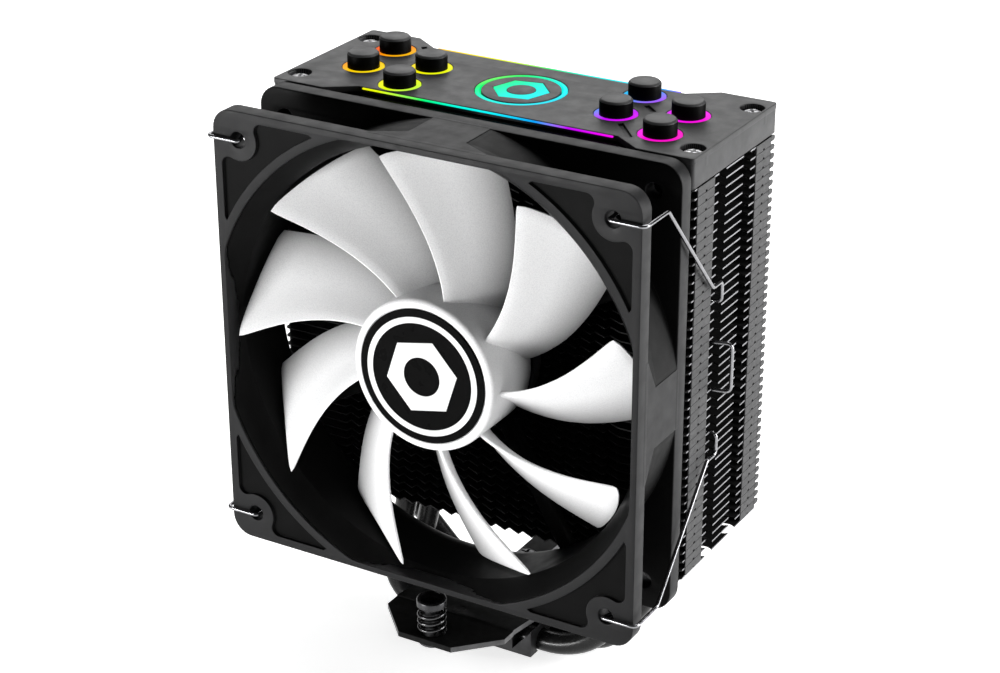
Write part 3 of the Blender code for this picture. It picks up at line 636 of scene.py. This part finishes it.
def frame_flanges():
    outline = rounded_rectangle(FAN_HALF, FAN_HALF, FRAME_CORNER)
    corners = [(sx, sy) for sx in (-1, 1) for sy in (-1, 1)]
    holes = [circle(HOLE_R, 24, sx * HOLE_OFFSET, sy * HOLE_OFFSET) for sx, sy in corners]
    pockets = [pocket_loop(sx, sy) for sx, sy in corners]
    front = plate("front_flange", [outline, throat_loop()] + holes, -FLANGE, 0, FRAME_BLACK,
                  0.15 * MM)
    front = cut(front, plate("pockets", pockets, -POCKET_DEPTH, 1 * MM, FRAME_BLACK))
    back = -FAN_DEPTH
    rear = plate("rear_flange", [outline, circle(BORE_R + 1.2 * MM, 120)] + holes, back,
                 back + FLANGE, FRAME_BLACK, 0.3 * MM)
    rear = cut(rear, plate("rear_pockets", pockets, back - 1 * MM, back + POCKET_DEPTH,
                           FRAME_BLACK))
    return [smooth_floors(front, [-POCKET_DEPTH, -FLANGE]),
            smooth_floors(rear, [back + POCKET_DEPTH, back + FLANGE])]


def frame_barrel():
    """The bell mouth and bore inside, and outside a drum whose flats lie flush with the sides."""
    back = -FAN_DEPTH
    bell = lathe("bell", [
        (THROAT_R + 0.3 * MM, -0.5 * MM), (THROAT_R - 0.6 * MM, -0.9 * MM),
        (BORE_R + 1.8 * MM, -3.2 * MM), (BORE_R + 0.5 * MM, -5.2 * MM),
        (BORE_R, -6.5 * MM)], FRAME_DARK_SMOOTH, 160, THROAT_LIMIT + 0.2 * MM)
    bore = lathe("bore", [
        (BORE_R, -6.5 * MM), (BORE_R, back + 4 * MM), (BORE_R + 0.4 * MM, back + 2 * MM),
        (BORE_R + 1.2 * MM, back + 0.2 * MM)], FRAME_DARK_SMOOTH, 160)
    drum = lathe("drum", [
        (THROAT_R + 1.2 * MM, -2 * MM), (THROAT_R, -4.2 * MM), (61.6 * MM, -5.5 * MM),
        (60.9 * MM, -7.2 * MM), (BARREL_R, -9.5 * MM), (BARREL_R, back + 2 * MM)],
        FRAME_DRUM, 240, FAN_HALF - 0.1 * MM)
    parts = [bell, bore, split_creases(drum, 4)]
    web = [(-WEB_WIDE, -FLANGE + 1 * MM), (-WEB_WIDE, -FLANGE), (-WEB_SLIM, -9 * MM),
           (-WEB_SLIM, back + FLANGE - 1 * MM)]
    web += [(-x, y) for x, y in reversed(web)]
    for quarter in range(4):
        wall = plate("web", [web], FAN_HALF - 1.4 * MM, FAN_HALF + 0.01 * MM, FRAME_BLACK)
        turn = Matrix.Rotation(math.pi / 2 * quarter, 4, "Z")
        lift = Matrix.Translation(wall.location)
        wall.data.transform(turn @ Matrix.Rotation(math.pi / 2, 4, "X") @ lift)
        wall.location = (0, 0, 0)
        parts.append(wall)
    return parts


def frame_struts():
    struts = []
    for i, degrees in enumerate(STRUT_ANGLES):
        strut = box("strut_%d" % i, *mm((18.5, -2, -24.6), (58.6, 2, -21.7)), FRAME_DARK_SMOOTH,
                    0.4 * MM)
        strut.data.transform(Matrix.Rotation(math.radians(degrees), 4, "Z"))
        struts.append(strut)
    return struts


def motor_base():
    """The motor's round base and its bearing tube."""
    return lathe("motor_base", mm(
        (3.2, -7), (4.6, -7), (4.6, -21), (5, -21.3), (19.6, -21.3), (20, -21.7), (20, -24.7),
        (19.7, -25), (17.9, -25), (17.6, -24.7), (17.6, -24.2), (3.2, -24.2)),
        FRAME_BLACK, 64, closed=True)


def fan_frame():
    parts = frame_flanges() + frame_barrel() + frame_struts() + [motor_base()]
    shell = on_fan(joined("fan_frame_moulding", parts))
    place(smooth(shell, 30), "cooler", "frame_black", "fan_frame")


def blade_point(share_r, share_c):
    """A point of the blade's middle surface: hub to tip, leading to trailing edge."""
    radius = BLADE_ROOT_R + share_r * (BLADE_TIP_R - BLADE_ROOT_R)
    lead = BLADE_PHASE - BLADE_SWEEP * (1 - share_r) ** 1.25
    chord = 29.5 - 3.5 * share_r
    lead_depth = 4 * MM - 2.2 * MM * share_r
    trail_depth = 18 * MM - 0.8 * MM * share_r
    bow = 1.3 * MM * math.sin(math.pi * share_c)
    # the tip's two corners are drawn in a little
    radius -= 0.5 * MM * share_r ** 12 * (2 * share_c - 1) ** 12
    angle = math.radians(lead - chord * share_c)
    depth = lead_depth + (trail_depth - lead_depth) * share_c ** 0.96 + bow
    return Vector((radius * math.cos(angle), radius * math.sin(angle), -depth))


def blade(index, across=28, along=20):
    """One blade as a closed skin: thin at its edges and thickest just before its middle."""
    bm = bmesh.new()
    spin = Matrix.Rotation(2 * math.pi * index / BLADES, 4, "Z")
    sheets = []
    for side in (1, -1):
        rows = []
        for i in range(across + 1):
            row = []
            for j in range(along + 1):
                s, c = i / across, j / along
                here = blade_point(s, c)
                step_r = blade_point(min(1, s + 0.01), c) - blade_point(max(0, s - 0.01), c)
                step_c = blade_point(s, min(1, c + 0.01)) - blade_point(s, max(0, c - 0.01))
                normal = step_r.cross(step_c).normalized()
                belly = math.sqrt(max(0.0, 1 - (2 * c ** 0.8 - 1) ** 2))
                half = (0.22 + (0.85 - 0.35 * s) * belly) * MM
                if i == across:
                    half *= 0.35
                row.append(bm.verts.new(spin @ (here + normal * side * half)))
            rows.append(row)
        sheets.append(rows)
    top, bottom = sheets
    for rows in sheets:
        for i in range(across):
            for j in range(along):
                quad = [rows[i][j], rows[i + 1][j], rows[i + 1][j + 1], rows[i][j + 1]]
                bm.faces.new(quad if rows is top else quad[::-1])
    rim = [(i, 0) for i in range(across + 1)] + [(across, j) for j in range(1, along + 1)]
    rim += [(i, along) for i in range(across - 1, -1, -1)]
    rim += [(0, j) for j in range(along - 1, 0, -1)]
    for (i, j), (k, m) in zip(rim, rim[1:] + rim[:1]):
        bm.faces.new((top[i][j], bottom[i][j], bottom[k][m], top[k][m]))
    return built("blade_%d" % index, bm, BLADE_WHITE)


def fan_rotor():
    hub = turned("hub", (0, 0, -HUB_FRONT), [
        (0, -0.5), (18.1, -0.5), (18.15, -0.1), (18.35, 0), (19, 0), (19.5, -0.12),
        (19.95, -0.4), (20.2, -0.85), (20.3, -1.5), (20.3, -18.5), (20.1, -18.8), (19, -18.8),
        (18.8, -18.6), (18.8, -1.6), (0, -1.6)], BLADE_WHITE, 96)
    parts = [hub] + [blade(i) for i in range(BLADES)]
    rotor = on_fan(joined("fan_rotor_moulding", parts))
    place(smooth(rotor, 50), "rotor", "blade_white", "fan_rotor")


def hub_badge():
    """The label on the hub: a black disc with a plain ring and a plain nut shape."""
    high = 0.25 * MM - HUB_FRONT
    disc = turned("disc", (0, 0, high), [
        (0, 0), (17.7, 0), (17.9, -0.15), (17.9, -0.45), (0, -0.45)], LABEL_BLACK, 96)
    low, high = high - 0.1 * MM, high + 0.06 * MM
    ring = plate("ring", [circle(15.9 * MM, 96), circle(14.3 * MM, 96)], low, high, LABEL_WHITE)
    nut = plate("nut", [hexagon(10.4 * MM), circle(5.2 * MM, 48)], low, high, LABEL_WHITE)
    badge = on_fan(joined("hub_badge_disc", [disc, ring, nut]))
    place(smooth(badge), "rotor", "label_black", "hub_badge")


def fan_clip(side):
    """A bent wire: a hooked tip in a fan hole, a run to the fin notch, a finger loop, and back."""
    word = "left" if side < 0 else "right"
    front_y = FAN_CENTRE.y - CLIP_AHEAD
    notch_x, notch_y = 57.2 * MM, -8 * MM
    loop_top, hook_top = 18 * MM, 23.7 * MM
    half = [
        (CLIP_TIP_X + 0.2 * MM, FAN_CENTRE.y + 3.2 * MM, HOLE_OFFSET + 0.9 * MM),
        (CLIP_TIP_X - 0.6 * MM, front_y, HOLE_OFFSET),
        (CLIP_X, front_y, HOLE_OFFSET),
        (CLIP_X, FAN_CENTRE.y + 10.6 * MM, HOLE_OFFSET),
        (CLIP_X, -13 * MM, hook_top),
        (CLIP_X, notch_y, hook_top),
        (CLIP_X, notch_y, loop_top),
        (notch_x, notch_y, loop_top),
        (notch_x, notch_y, 6.5 * MM),
        (63.9 * MM, -6.3 * MM, 6.6 * MM),
    ]
    mirrored = [(x, y, -z) for x, y, z in reversed(half)]
    points = [Vector((side * x, y, FAN_CENTRE.z + z)) for x, y, z in half + mirrored]
    radii = [bend * MM for bend in (0.8, 1.6, 1.6, 1.6, 1.4, 1.4, 1.2, 1.4, 1.4)]
    path = fillet(points, radii + radii[::-1], 15)
    clip = wire("fan_clip_wire_" + word, path, CLIP_WIRE_R, STEEL)
    place(clip, word + "_clip", "polished_steel", "fan_clip_" + word)


# ---------------------------------------------------------------- fins and pipes

def front_teeth():
    """The saw-toothed front edge of a fin, from its left corner to its right."""
    pitch, count = 4.1 * MM, 20
    start = -count / 2 * pitch
    end = 59.2 * MM
    points = [(-end, FIN_FRONT), (start - 2 * MM, FIN_FRONT)]
    for i in range(count):
        x = start + i * pitch
        points += [(x, FIN_FRONT), (x + 0.35 * MM, FIN_FRONT + 1.8 * MM)]
    return points + [(-start, FIN_FRONT), (end, FIN_FRONT)]


def fin_side():
    """A fin's right side, from the front corner to the rear one, with its two round notches."""
    x = FAN_HALF - 0.2 * MM
    points = [(x, FIN_FRONT + 0.6 * MM)]
    for notch in (-6.9 * MM, 6.9 * MM):
        points += arc(x - 2.2 * MM, notch, 3 * MM, -43, -317, 14)
    points.append((x, 20.9 * MM))
    return points + arc(x - 2.1 * MM, 20.8 * MM, 2.1 * MM, 10, 90, 5)


def fin_sheet(z):
    """One fin; its bare cut edge shows at the sides."""
    side = fin_side()
    left = [(-x, y) for x, y in reversed(side)]
    outline = front_teeth() + side + left
    sheet = plate("fin_sheet", [outline], z, z + FIN_T, FIN_COATED)
    sheet.data.materials.append(FIN_EDGE)
    for face in sheet.data.polygons:
        bare = abs(face.normal.x) > 0.8 and abs(face.center.x) > 58.5 * MM
        face.material_index = 1 if bare else 0
    return sheet


def slab(bm, outline, outer, inner):
    """A flat piece between two x values, drawn by its (y, height) outline."""
    near = [bm.verts.new((outer, y, h)) for y, h in outline]
    far = [bm.verts.new((inner, y, h)) for y, h in outline]
    bm.faces.new(near)
    bm.faces.new(far[::-1])
    for i in range(len(outline)):
        j = (i + 1) % len(outline)
        bm.faces.new((near[i], far[i], far[j], near[j]))


def fin_tabs(z):
    """The folded edges of one fin: walls that stand down to the fin below."""
    low, high = z - FIN_PITCH + FIN_T + 0.14 * MM, z + FIN_T
    slit, slit_top = 0.45 * MM, low + 0.5 * MM
    outlines = []
    for start, finish in TAB_EDGES:
        ahead, behind = (start + finish) / 2 - slit, (start + finish) / 2 + slit
        outlines.append([(start, high), (finish, high), (finish, low), (behind, low),
                         (behind, slit_top), (ahead, slit_top), (ahead, low), (start, low)])
    root, nose, depth, tip_r = 20.2 * MM, 22.1 * MM, 1.35 * MM, 0.68 * MM
    tongue = [(root, high), (root, high - depth)] + arc(nose, high - tip_r, tip_r, -90, 90, 6)
    bm = bmesh.new()
    for side in (-1, 1):
        for outline in outlines + [tongue]:
            slab(bm, outline, side * FAN_HALF, side * (FAN_HALF - 0.35 * MM))
    return built("tabs", bm, TAB_COATED)


def collar_tube(x, y):
    """The stacked collars round one pipe, a rib for each fin."""
    profile = []
    for i in range(FIN_COUNT):
        rise = FIN_PITCH / MM * i
        profile += [(3.9, rise + 0.1), (3.5, rise + 0.7), (3.45, rise + 2.2)]
    return turned("collars", (x, y, STACK_FOOT), profile[::-1], FIN_COATED, 20)


def fin_stack():
    parts = []
    for i in range(FIN_COUNT):
        z = STACK_FOOT + FIN_PITCH * i
        parts.append(fin_sheet(z))
        if i:
            parts.append(fin_tabs(z))
    parts += [collar_tube(cap.x, cap.y) for cap in CAPS]
    stack = joined("fin_stack_sheets", parts)
    place(smooth(stack, 25), "cooler", "fin_black_coat", "fin_stack")


def heat_pipes():
    for i in range(4):
        node = "heat_pipe_%d" % (i + 1)
        y = middle(node).y
        corners = []
        radii = []
        for x in sorted(cap.x for cap in CAPS if abs(cap.y - y) < 1 * MM):
            inner = abs(abs(x) - PIPE_INNER_X) < 1 * MM
            elbow_z, foot_x, *bends = PIPE_INNER_END if inner else PIPE_OUTER_END
            end = [(x, PIPE_TOP_Z), (x, elbow_z), (math.copysign(foot_x, x), PIPE_AXIS_Z)]
            if x > 0:
                end.reverse()
                bends.reverse()
            corners += [(px, y, pz) for px, pz in end]
            radii += bends
        pipe = wire("heat_pipe_tube_%d" % (i + 1), fillet(corners, radii, 5), PIPE_R,
                    PIPE_COATED, 8)
        milled = box("milled", *mm((-70, -30, -5), (70, 30, 0)), PIPE_COATED)
        place(smooth(cut(pipe, milled)), "cooler", "pipe_black_coat", node)


# ---------------------------------------------------------------- top cover

def cover_outline(inset=0.0):
    jog = [(37 * MM - inset, 18.1 * MM - inset), (44.6 * MM - inset, 23.5 * MM - inset)]
    corner = arc(59 * MM, 22.5 * MM, 1 * MM - min(inset, 0.9 * MM), 90, 0, 5)
    right = jog + corner + [(x, -y) for x, y in reversed(jog + corner)]
    return right + [(-x, -y) for x, y in right]


def groove(start, finish, width=1.5 * MM):
    """A slot between two points of the cover, as a closed outline."""
    a, b = Vector(start), Vector(finish)
    along = (b - a).normalized() * width / 2
    across = Vector((-along.y, along.x))
    return [tuple(p) for p in (a + across, a - across, b - across, b + across)]


def cover_grooves():
    right = [mm((33.3, -9.8), (39.9, -17.5)), mm((32.8, 5), (36.6, 1.6))]
    loops = [groove(a, b) for a, b in right]
    return loops + [[(-x, -y) for x, y in loop] for loop in loops]


def cover_plate(name, loops, low, high, mat, edge=0.0):
    """A plate whose heights are in millimetres above the cover's top face."""
    return plate(name, loops, COVER_TOP + low * MM, COVER_TOP + high * MM, mat, edge * MM)


def top_cover():
    rings = [circle(5.6 * MM, 64, cap.x, cap.y) for cap in CAPS]
    seats = [circle(3.1 * MM, 40, screw.x, screw.y) for screw in COVER_SCREWS]
    emblem = circle(11.9 * MM, 96)
    deck = cover_plate("deck", [cover_outline(), emblem] + rings + seats, -1.5, 0,
                       COVER_BLACK, 0.2)
    deck = cut(deck, cover_plate("grooves", cover_grooves(), -0.6, 1, COVER_BLACK))
    half_x, half_y = COVER_HIGH.x, COVER_HIGH.y
    outer = rounded_rectangle(half_x - 0.1 * MM, half_y - 0.1 * MM, 1 * MM, 6)
    inner = rounded_rectangle(half_x - 1.2 * MM, half_y - 1.2 * MM, 0.5 * MM, 6)
    skirt = plate("skirt", [outer, inner], COVER_LOW.z, COVER_TOP - 0.4 * MM, COVER_BLACK,
                  0.15 * MM)
    gap_z = (COVER_TOP - 2.3 * MM, COVER_TOP + 1 * MM)
    ledge_z = (COVER_TOP - 3.6 * MM, COVER_TOP - 2.4 * MM)
    parts = [deck, cover_plate("waist_wall", [cover_outline(0.75 * MM), cover_outline(1.8 * MM)],
                               -3.6, -1, CAP_BLACK)]
    for side in (-1, 1):
        skirt = cut(skirt, side_bar("light_gap", side, 44.8 * MM, (19.6 * MM, 26 * MM), gap_z,
                                    COVER_BLACK))
        parts.append(side_bar("ledge", side, 46 * MM, (17 * MM, 23.2 * MM), ledge_z,
                              COVER_BLACK, 0.2 * MM))
    parts.append(skirt)
    for screw in COVER_SCREWS:
        parts.append(turned("seat", (screw.x, screw.y, COVER_TOP), [
            (3.1, -0.2), (3.1, -3), (1.3, -3), (1.3, -3.6), (3.6, -3.6), (3.6, -0.6)],
            CAP_BLACK, 40, closed=True))
    cover = joined("top_cover_shell", parts)
    place(smooth(cover, 30), "cooler", "cover_black", "top_cover")


def light_guides():
    """The lit rings, strips and emblem that show through the cover."""
    guides = [circle(11.7 * MM, 96), circle(10.7 * MM, 96)]
    for cap in CAPS:
        guides += [circle(5.45 * MM, 64, cap.x, cap.y), circle(4.3 * MM, 64, cap.x, cap.y)]
    parts = [cover_plate("rings", guides, -3.4, -0.08, GLOW),
             cover_plate("nut", [hexagon(7.4 * MM), circle(3.9 * MM, 48)], -1, -0.02, GLOW)]
    for side, rise in ((-1, -0.2 * MM), (1, 0.02 * MM)):
        high = COVER_TOP + rise
        parts.append(side_bar("strip", side, 35.8 * MM, (17.6 * MM, 18.5 * MM),
                              (high - 0.4 * MM, high), GLOW, 0.05 * MM))
    sheet = rounded_rectangle(50 * MM, 15.8 * MM, 2 * MM)
    holes = [circle(4.35 * MM, 40, cap.x, cap.y) for cap in CAPS]
    parts.append(cover_plate("sheet", [sheet] + holes, -4.4, -2, MILKY))
    guide = joined("light_guide", parts)
    place(smooth(guide), "cooler", "diffuser_milky", "light_diffuser")


def emblem_disc():
    """A plain disc with a nut-shaped opening, and the core inside it."""
    disc = cover_plate("emblem_disc_plain", [circle(10.2 * MM, 96), hexagon(7.6 * MM)],
                       -1.4, 0, COVER_BLACK, 0.15)
    core = cover_plate("emblem_core", [circle(3.75 * MM, 48)], -1.4, 0, COVER_BLACK, 0.15)
    emblem = joined("emblem_plate", [disc, core])
    place(smooth(emblem), "cooler", "cover_black", "emblem_disc")


def pipe_caps():
    low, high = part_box("pipe_cap_1")
    foot = (low.z - high.z) / MM
    for i, cap in enumerate(CAPS):
        shell = turned("pipe_cap_shell_%d" % (i + 1), (cap.x, cap.y, high.z), [
            (0, 0), (3.6, 0), (3.7, -0.04), (4.08, -0.42), (4.18, -0.55), (4.2, -0.7),
            (4.2, foot + 0.2), (4, foot), (3.3, foot), (3.3, -1.6), (0, -1.6)], CAP_BLACK, 56)
        shell.data.materials.append(CAP_FACE)
        for face in shell.data.polygons:
            if face.center.z > high.z - 0.5 * MM:
                face.material_index = 1
        place(smooth(shell), "cooler", "cover_black", "pipe_cap_%d" % (i + 1))


def cross_slots(centre, length, width, depth, mat, degrees=0):
    """The crossed driver slots of a screw, in millimetres, as a tool to cut with."""
    slots = [box("slot", *mm((-x / 2, -y / 2, -depth), (x / 2, y / 2, 1)), mat)
             for x, y in ((length, width), (width, length))]
    joining = slots[0].modifiers.new("join", "BOOLEAN")
    joining.operation = "UNION"
    joining.object = slots[1]
    joining.solver = "EXACT"
    tool = baked(slots[0])
    bpy.data.objects.remove(slots[1], do_unlink=True)
    turn = Matrix.Rotation(math.radians(degrees), 4, "Z")
    tool.data.transform(Matrix.Translation(centre) @ turn)
    return tool


def cover_screws():
    for i, seat in enumerate(COVER_SCREWS):
        head = (seat.x, seat.y, COVER_TOP - 0.75 * MM)
        screw = turned("cover_screw_turned_%d" % (i + 1), head, [
            (0, 0), (1, -0.03), (1.8, -0.18), (2.4, -0.5), (2.7, -0.9), (2.7, -1.2),
            (1.2, -1.25), (1.2, -6), (0, -6)], SCREW_ZINC, 40)
        screw = cut(screw, cross_slots(head, 3.6, 0.8, 0.9, CAP_BLACK, 20 + 35 * i))
        place(smooth(screw), "cooler", "polished_steel", "cover_screw_%d" % (i + 1))


# ---------------------------------------------------------------- base

def base_block():
    """The block's section runs from front to rear; its tall pad is short, over the middle."""
    outline = mm((13.3, 0), (13.3, 7.8), (7.6, 1.2), (7.6, 6.5), (4.7, 3.2), (4.7, 15))
    outline += [(-x, z) for x, z in reversed(outline)]
    block = plate("base_block_milled", [outline], -BLOCK_END, BLOCK_END, BLOCK_COATED,
                  0.12 * MM)
    block.data.transform(Matrix.Rotation(math.pi / 2, 4, "X"))
    for side in (-1, 1):
        block = cut(block, side_bar("pad_end", side, 6 * MM, (7.2 * MM, 19 * MM),
                                    (8 * MM, 16 * MM), BLOCK_COATED))
    lie = Matrix.Rotation(math.pi / 2, 4, "Y")
    for i in range(4):
        bed = turned("groove", (0, 0, 0), [(0, 20), (3.3, 20), (3.3, -20), (0, -20)],
                     BLOCK_COATED, 48)
        axis = (0, middle("heat_pipe_%d" % (i + 1)).y, PIPE_AXIS_Z)
        bed.data.transform(Matrix.Translation(axis) @ lie)
        block = cut(block, bed)
    place(smooth(block, 25), "cooler", "block_black_coat", "base_block")


def mounting_bar():
    """A bent strip: its width is drawn flat and its height follows its bends."""
    top = BAR_HIGH.z
    thick, step, drop = 1.6 * MM, 0.35 * MM, 2.1 * MM
    bend, flat = 35.1 * MM, 19 * MM
    outline = [(8 * MM, BAR_HIGH.y)] + mm((18, 39.6), (18, 24), (4, 16))
    outline += [(x, -y) for x, y in reversed(outline)]
    outline += [(-x, y) for x, y in reversed(outline)]
    holes = []
    for y, r in mm((46.2, 2.75), (31.7, 1.35), (3.4, 1.7)):
        holes += [circle(r, 32, 0, y), circle(r, 32, 0, -y)]
    bar = plate("mounting_bar_strip", [outline] + holes, top - thick, top, BAR_PAINTED,
                0.12 * MM)
    bm = bmesh.new()
    bm.from_mesh(bar.data)
    folds = (bend - 0.3 * MM, bend, flat - 1 * MM, flat + 1 * MM)
    for y in [sign * fold for sign in (-1, 1) for fold in folds]:
        bmesh.ops.bisect_plane(bm, geom=bm.verts[:] + bm.edges[:] + bm.faces[:],
                               plane_co=(0, y, 0), plane_no=(0, 1, 0))
    # the side faces take the lighter material, a painted highlight
    for face in bm.faces:
        rim = abs(face.normal.z) < 0.5 and abs(face.calc_center_median().x) > 3 * MM
        face.material_index = 1 if rim else 0
    for vert in bm.verts:
        reach = abs(vert.co.y)
        share = min(1.0, max(0.0, (bend - reach) / (bend - flat)))
        rise = step if reach < bend - 0.2 * MM else 0.0
        vert.co.z -= (drop + step) * share - rise
    bm.to_mesh(bar.data)
    bm.free()
    bar.data.materials.append(BAR_SIDE_HIGHLIGHT)
    place(smooth(bar, 20), "cooler", "bar_black_paint", "mounting_bar")


def bar_screws():
    for word in ("front", "rear"):
        low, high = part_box("bar_screw_" + word)
        head = ((low.x + high.x) / 2, (low.y + high.y) / 2, high.z)
        foot = (low.z - high.z) / MM
        screw = turned("bar_screw_turned_" + word, head, [
            (0, 0), (1.4, -0.03), (2.3, -0.2), (2.7, -0.6), (2.78, -1), (2.78, -1.5),
            (1.2, -1.5), (1.2, foot), (0, foot)], SCREW_BLACK, 40)
        screw = cut(screw, cross_slots(head, 3.2, 0.7, 0.8, CAP_BLACK))
        place(smooth(screw), "cooler", "polished_steel", "bar_screw_" + word)


def spring_screw(word):
    """A screw with a rimmed head, and the ring in its groove that keeps it in the bar."""
    centre = middle("spring_screw_" + word)
    low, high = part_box("spring_screw_" + word)
    foot, top = low.z / MM, high.z / MM
    base = (centre.x, centre.y, 0)
    screw = turned("spring_screw_turned_" + word, base, [
        (0, top - 1.5), (2.8, top - 1.5), (3, top - 1.3), (3.2, top - 0.1), (3.35, top),
        (3.7, top), (3.88, top - 0.15), (3.95, top - 0.4), (3.95, top - 1.9), (3.75, top - 2.1),
        (2.4, top - 2.1), (2.4, 17.3), (1.9, 17.3), (1.9, 16.2), (2.4, 16.1), (2.4, 15.75),
        (2.2, foot), (1.3, foot), (1.25, 24), (0, 24)], SCREW_BLACK, 56)
    recess = (centre.x, centre.y, high.z - 1.5 * MM)
    screw = cut(screw, cross_slots(recess, 4.6, 1, 0.45, SCREW_BLACK))
    place(smooth(screw), word + "_screw", "polished_steel", "spring_screw_" + word)
    keeper = turned("retaining_ring_stamped_" + word, base, [
        (2.2, 17.05), (3.5, 17.05), (3.6, 16.95), (3.6, 16.6), (3.5, 16.5), (2.2, 16.5)],
        DARK_STEEL, 40, closed=True)
    place(smooth(keeper), word + "_keeper", "dark_steel", "retaining_ring_" + word)


def screw_spring(word):
    node = "screw_spring_" + word
    low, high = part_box(node)
    centre = middle(node)
    height = high.z - low.z
    wire_r, coil_r = 0.48 * MM, 3.4 * MM
    turns, steps = 3.5, 120
    path = []
    for i in range(steps + 1):
        angle = 2 * math.pi * turns * i / steps
        path.append((centre.x + coil_r * math.cos(angle), centre.y + coil_r * math.sin(angle),
                     low.z + wire_r + (height - 2 * wire_r) * i / steps))
    spring = wire("screw_spring_wire_" + word, path, wire_r, SPRING_STEEL)
    place(spring, "cooler", "spring_steel", node)
    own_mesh(spring)


def repaint_kept_nodes():
    """CAD nodes whose own shape stays: they get the detailed materials."""
    kept = {
        "rotor_yoke": DARK_STEEL, "rotor_magnet": MAGNET, "rotor_shaft": STEEL,
        "shaft_snap_ring": DARK_STEEL, "shaft_bearing": BRASS, "stator_core": LAMINATION,
        "motor_circuit_board": BOARD, "light_circuit_board": BOARD,
        "motor_rear_label": LABEL_BLACK, "cover_carrier": COVER_BLACK,
    }
    for i in range(4):
        kept["stator_coil_%d" % (i + 1)] = COPPER
    for node, mat in kept.items():
        for material_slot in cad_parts[node].material_slots:
            material_slot.link = "OBJECT"
            material_slot.material = mat


# ---------------------------------------------------------------- studio

def camera():
    """Looks down on the fan's face from the front right."""
    azimuth, elevation, roll = (math.radians(d) for d in (30.387, 24.649, -0.129))
    ahead = Vector((-math.sin(azimuth) * math.cos(elevation),
                    math.cos(azimuth) * math.cos(elevation), -math.sin(elevation)))
    level = Vector((math.cos(azimuth), math.sin(azimuth), 0))
    upright = level.cross(ahead)
    right = level * math.cos(roll) + upright * math.sin(roll)
    up = upright * math.cos(roll) - level * math.sin(roll)
    data = bpy.data.cameras.new("camera")
    data.sensor_width = 36
    data.lens = 87.1
    data.clip_start = 0.01
    ob = linked("camera", data)
    turn = Matrix((right, up, -ahead)).transposed().to_4x4()
    ob.matrix_world = Matrix.Translation((0.2889, -0.5036, 0.3519)) @ turn
    bpy.context.scene.camera = ob


def lamp(name, centre, target, size, power):
    """A soft box that faces its target."""
    data = bpy.data.lights.new(name, "AREA")
    data.shape = "RECTANGLE"
    data.size, data.size_y = size
    data.energy = power
    ob = linked(name, data)
    ob.location = centre
    aim = Vector(target) - Vector(centre)
    ob.rotation_euler = aim.to_track_quat("-Z", "Y").to_euler()


def studio():
    """Soft boxes round the cooler and a dim white surrounding."""
    lamp("back", (-0.6, 1.05, 0.75), (0, 0, 0.12), (1.3, 0.8), 7)
    lamp("right", (0.9, 0.4, 0.3), (0.05, 0, 0.09), (0.5, 0.6), 14)
    lamp("top", (0.0, 0.45, 0.9), (0, 0.05, 0.1), (0.6, 0.4), 4)
    lamp("front", (-0.5, -0.9, 0.02), (0, -0.05, 0.09), (0.6, 0.14), 13)
    world = bpy.data.worlds.new("studio")
    world.use_nodes = True
    background = world.node_tree.nodes["Background"]
    background.inputs["Color"].default_value = (1, 1, 1, 1)
    background.inputs["Strength"].default_value = 0.07
    bpy.context.scene.world = world
    bpy.context.scene.view_settings.view_transform = "Standard"


def floor():
    """A white table that glows a little, under the cooler."""
    bm = bmesh.new()
    bmesh.ops.create_grid(bm, x_segments=24, y_segments=24, size=3.0)
    mesh = bpy.data.meshes.new("studio_floor")
    bm.to_mesh(mesh)
    bm.free()
    surface = Surface("floor_white")
    cloud = [(0.3, (0.86, 0.86, 0.86)), (0.7, (0.88, 0.88, 0.88))]
    surface.set(Base_Color=surface.ramp(surface.noise(6, 2), cloud),
                Roughness=surface.spread(surface.noise(40), 0.55, 0.65),
                Emission_Color=(1, 1, 1, 1), Emission_Strength=0.75)
    ob = add("studio_floor", mesh, surface.mat)
    ob.location = (0, 0, -0.5 * MM)


def main():
    camera()
    fan_frame()
    fan_rotor()
    hub_badge()
    fan_clip(-1)
    fan_clip(1)
    fin_stack()
    heat_pipes()
    top_cover()
    light_guides()
    emblem_disc()
    pipe_caps()
    cover_screws()
    base_block()
    mounting_bar()
    bar_screws()
    for word in ("front", "rear"):
        spring_screw(word)
        screw_spring(word)
    repaint_kept_nodes()
    floor()
    studio()


main()
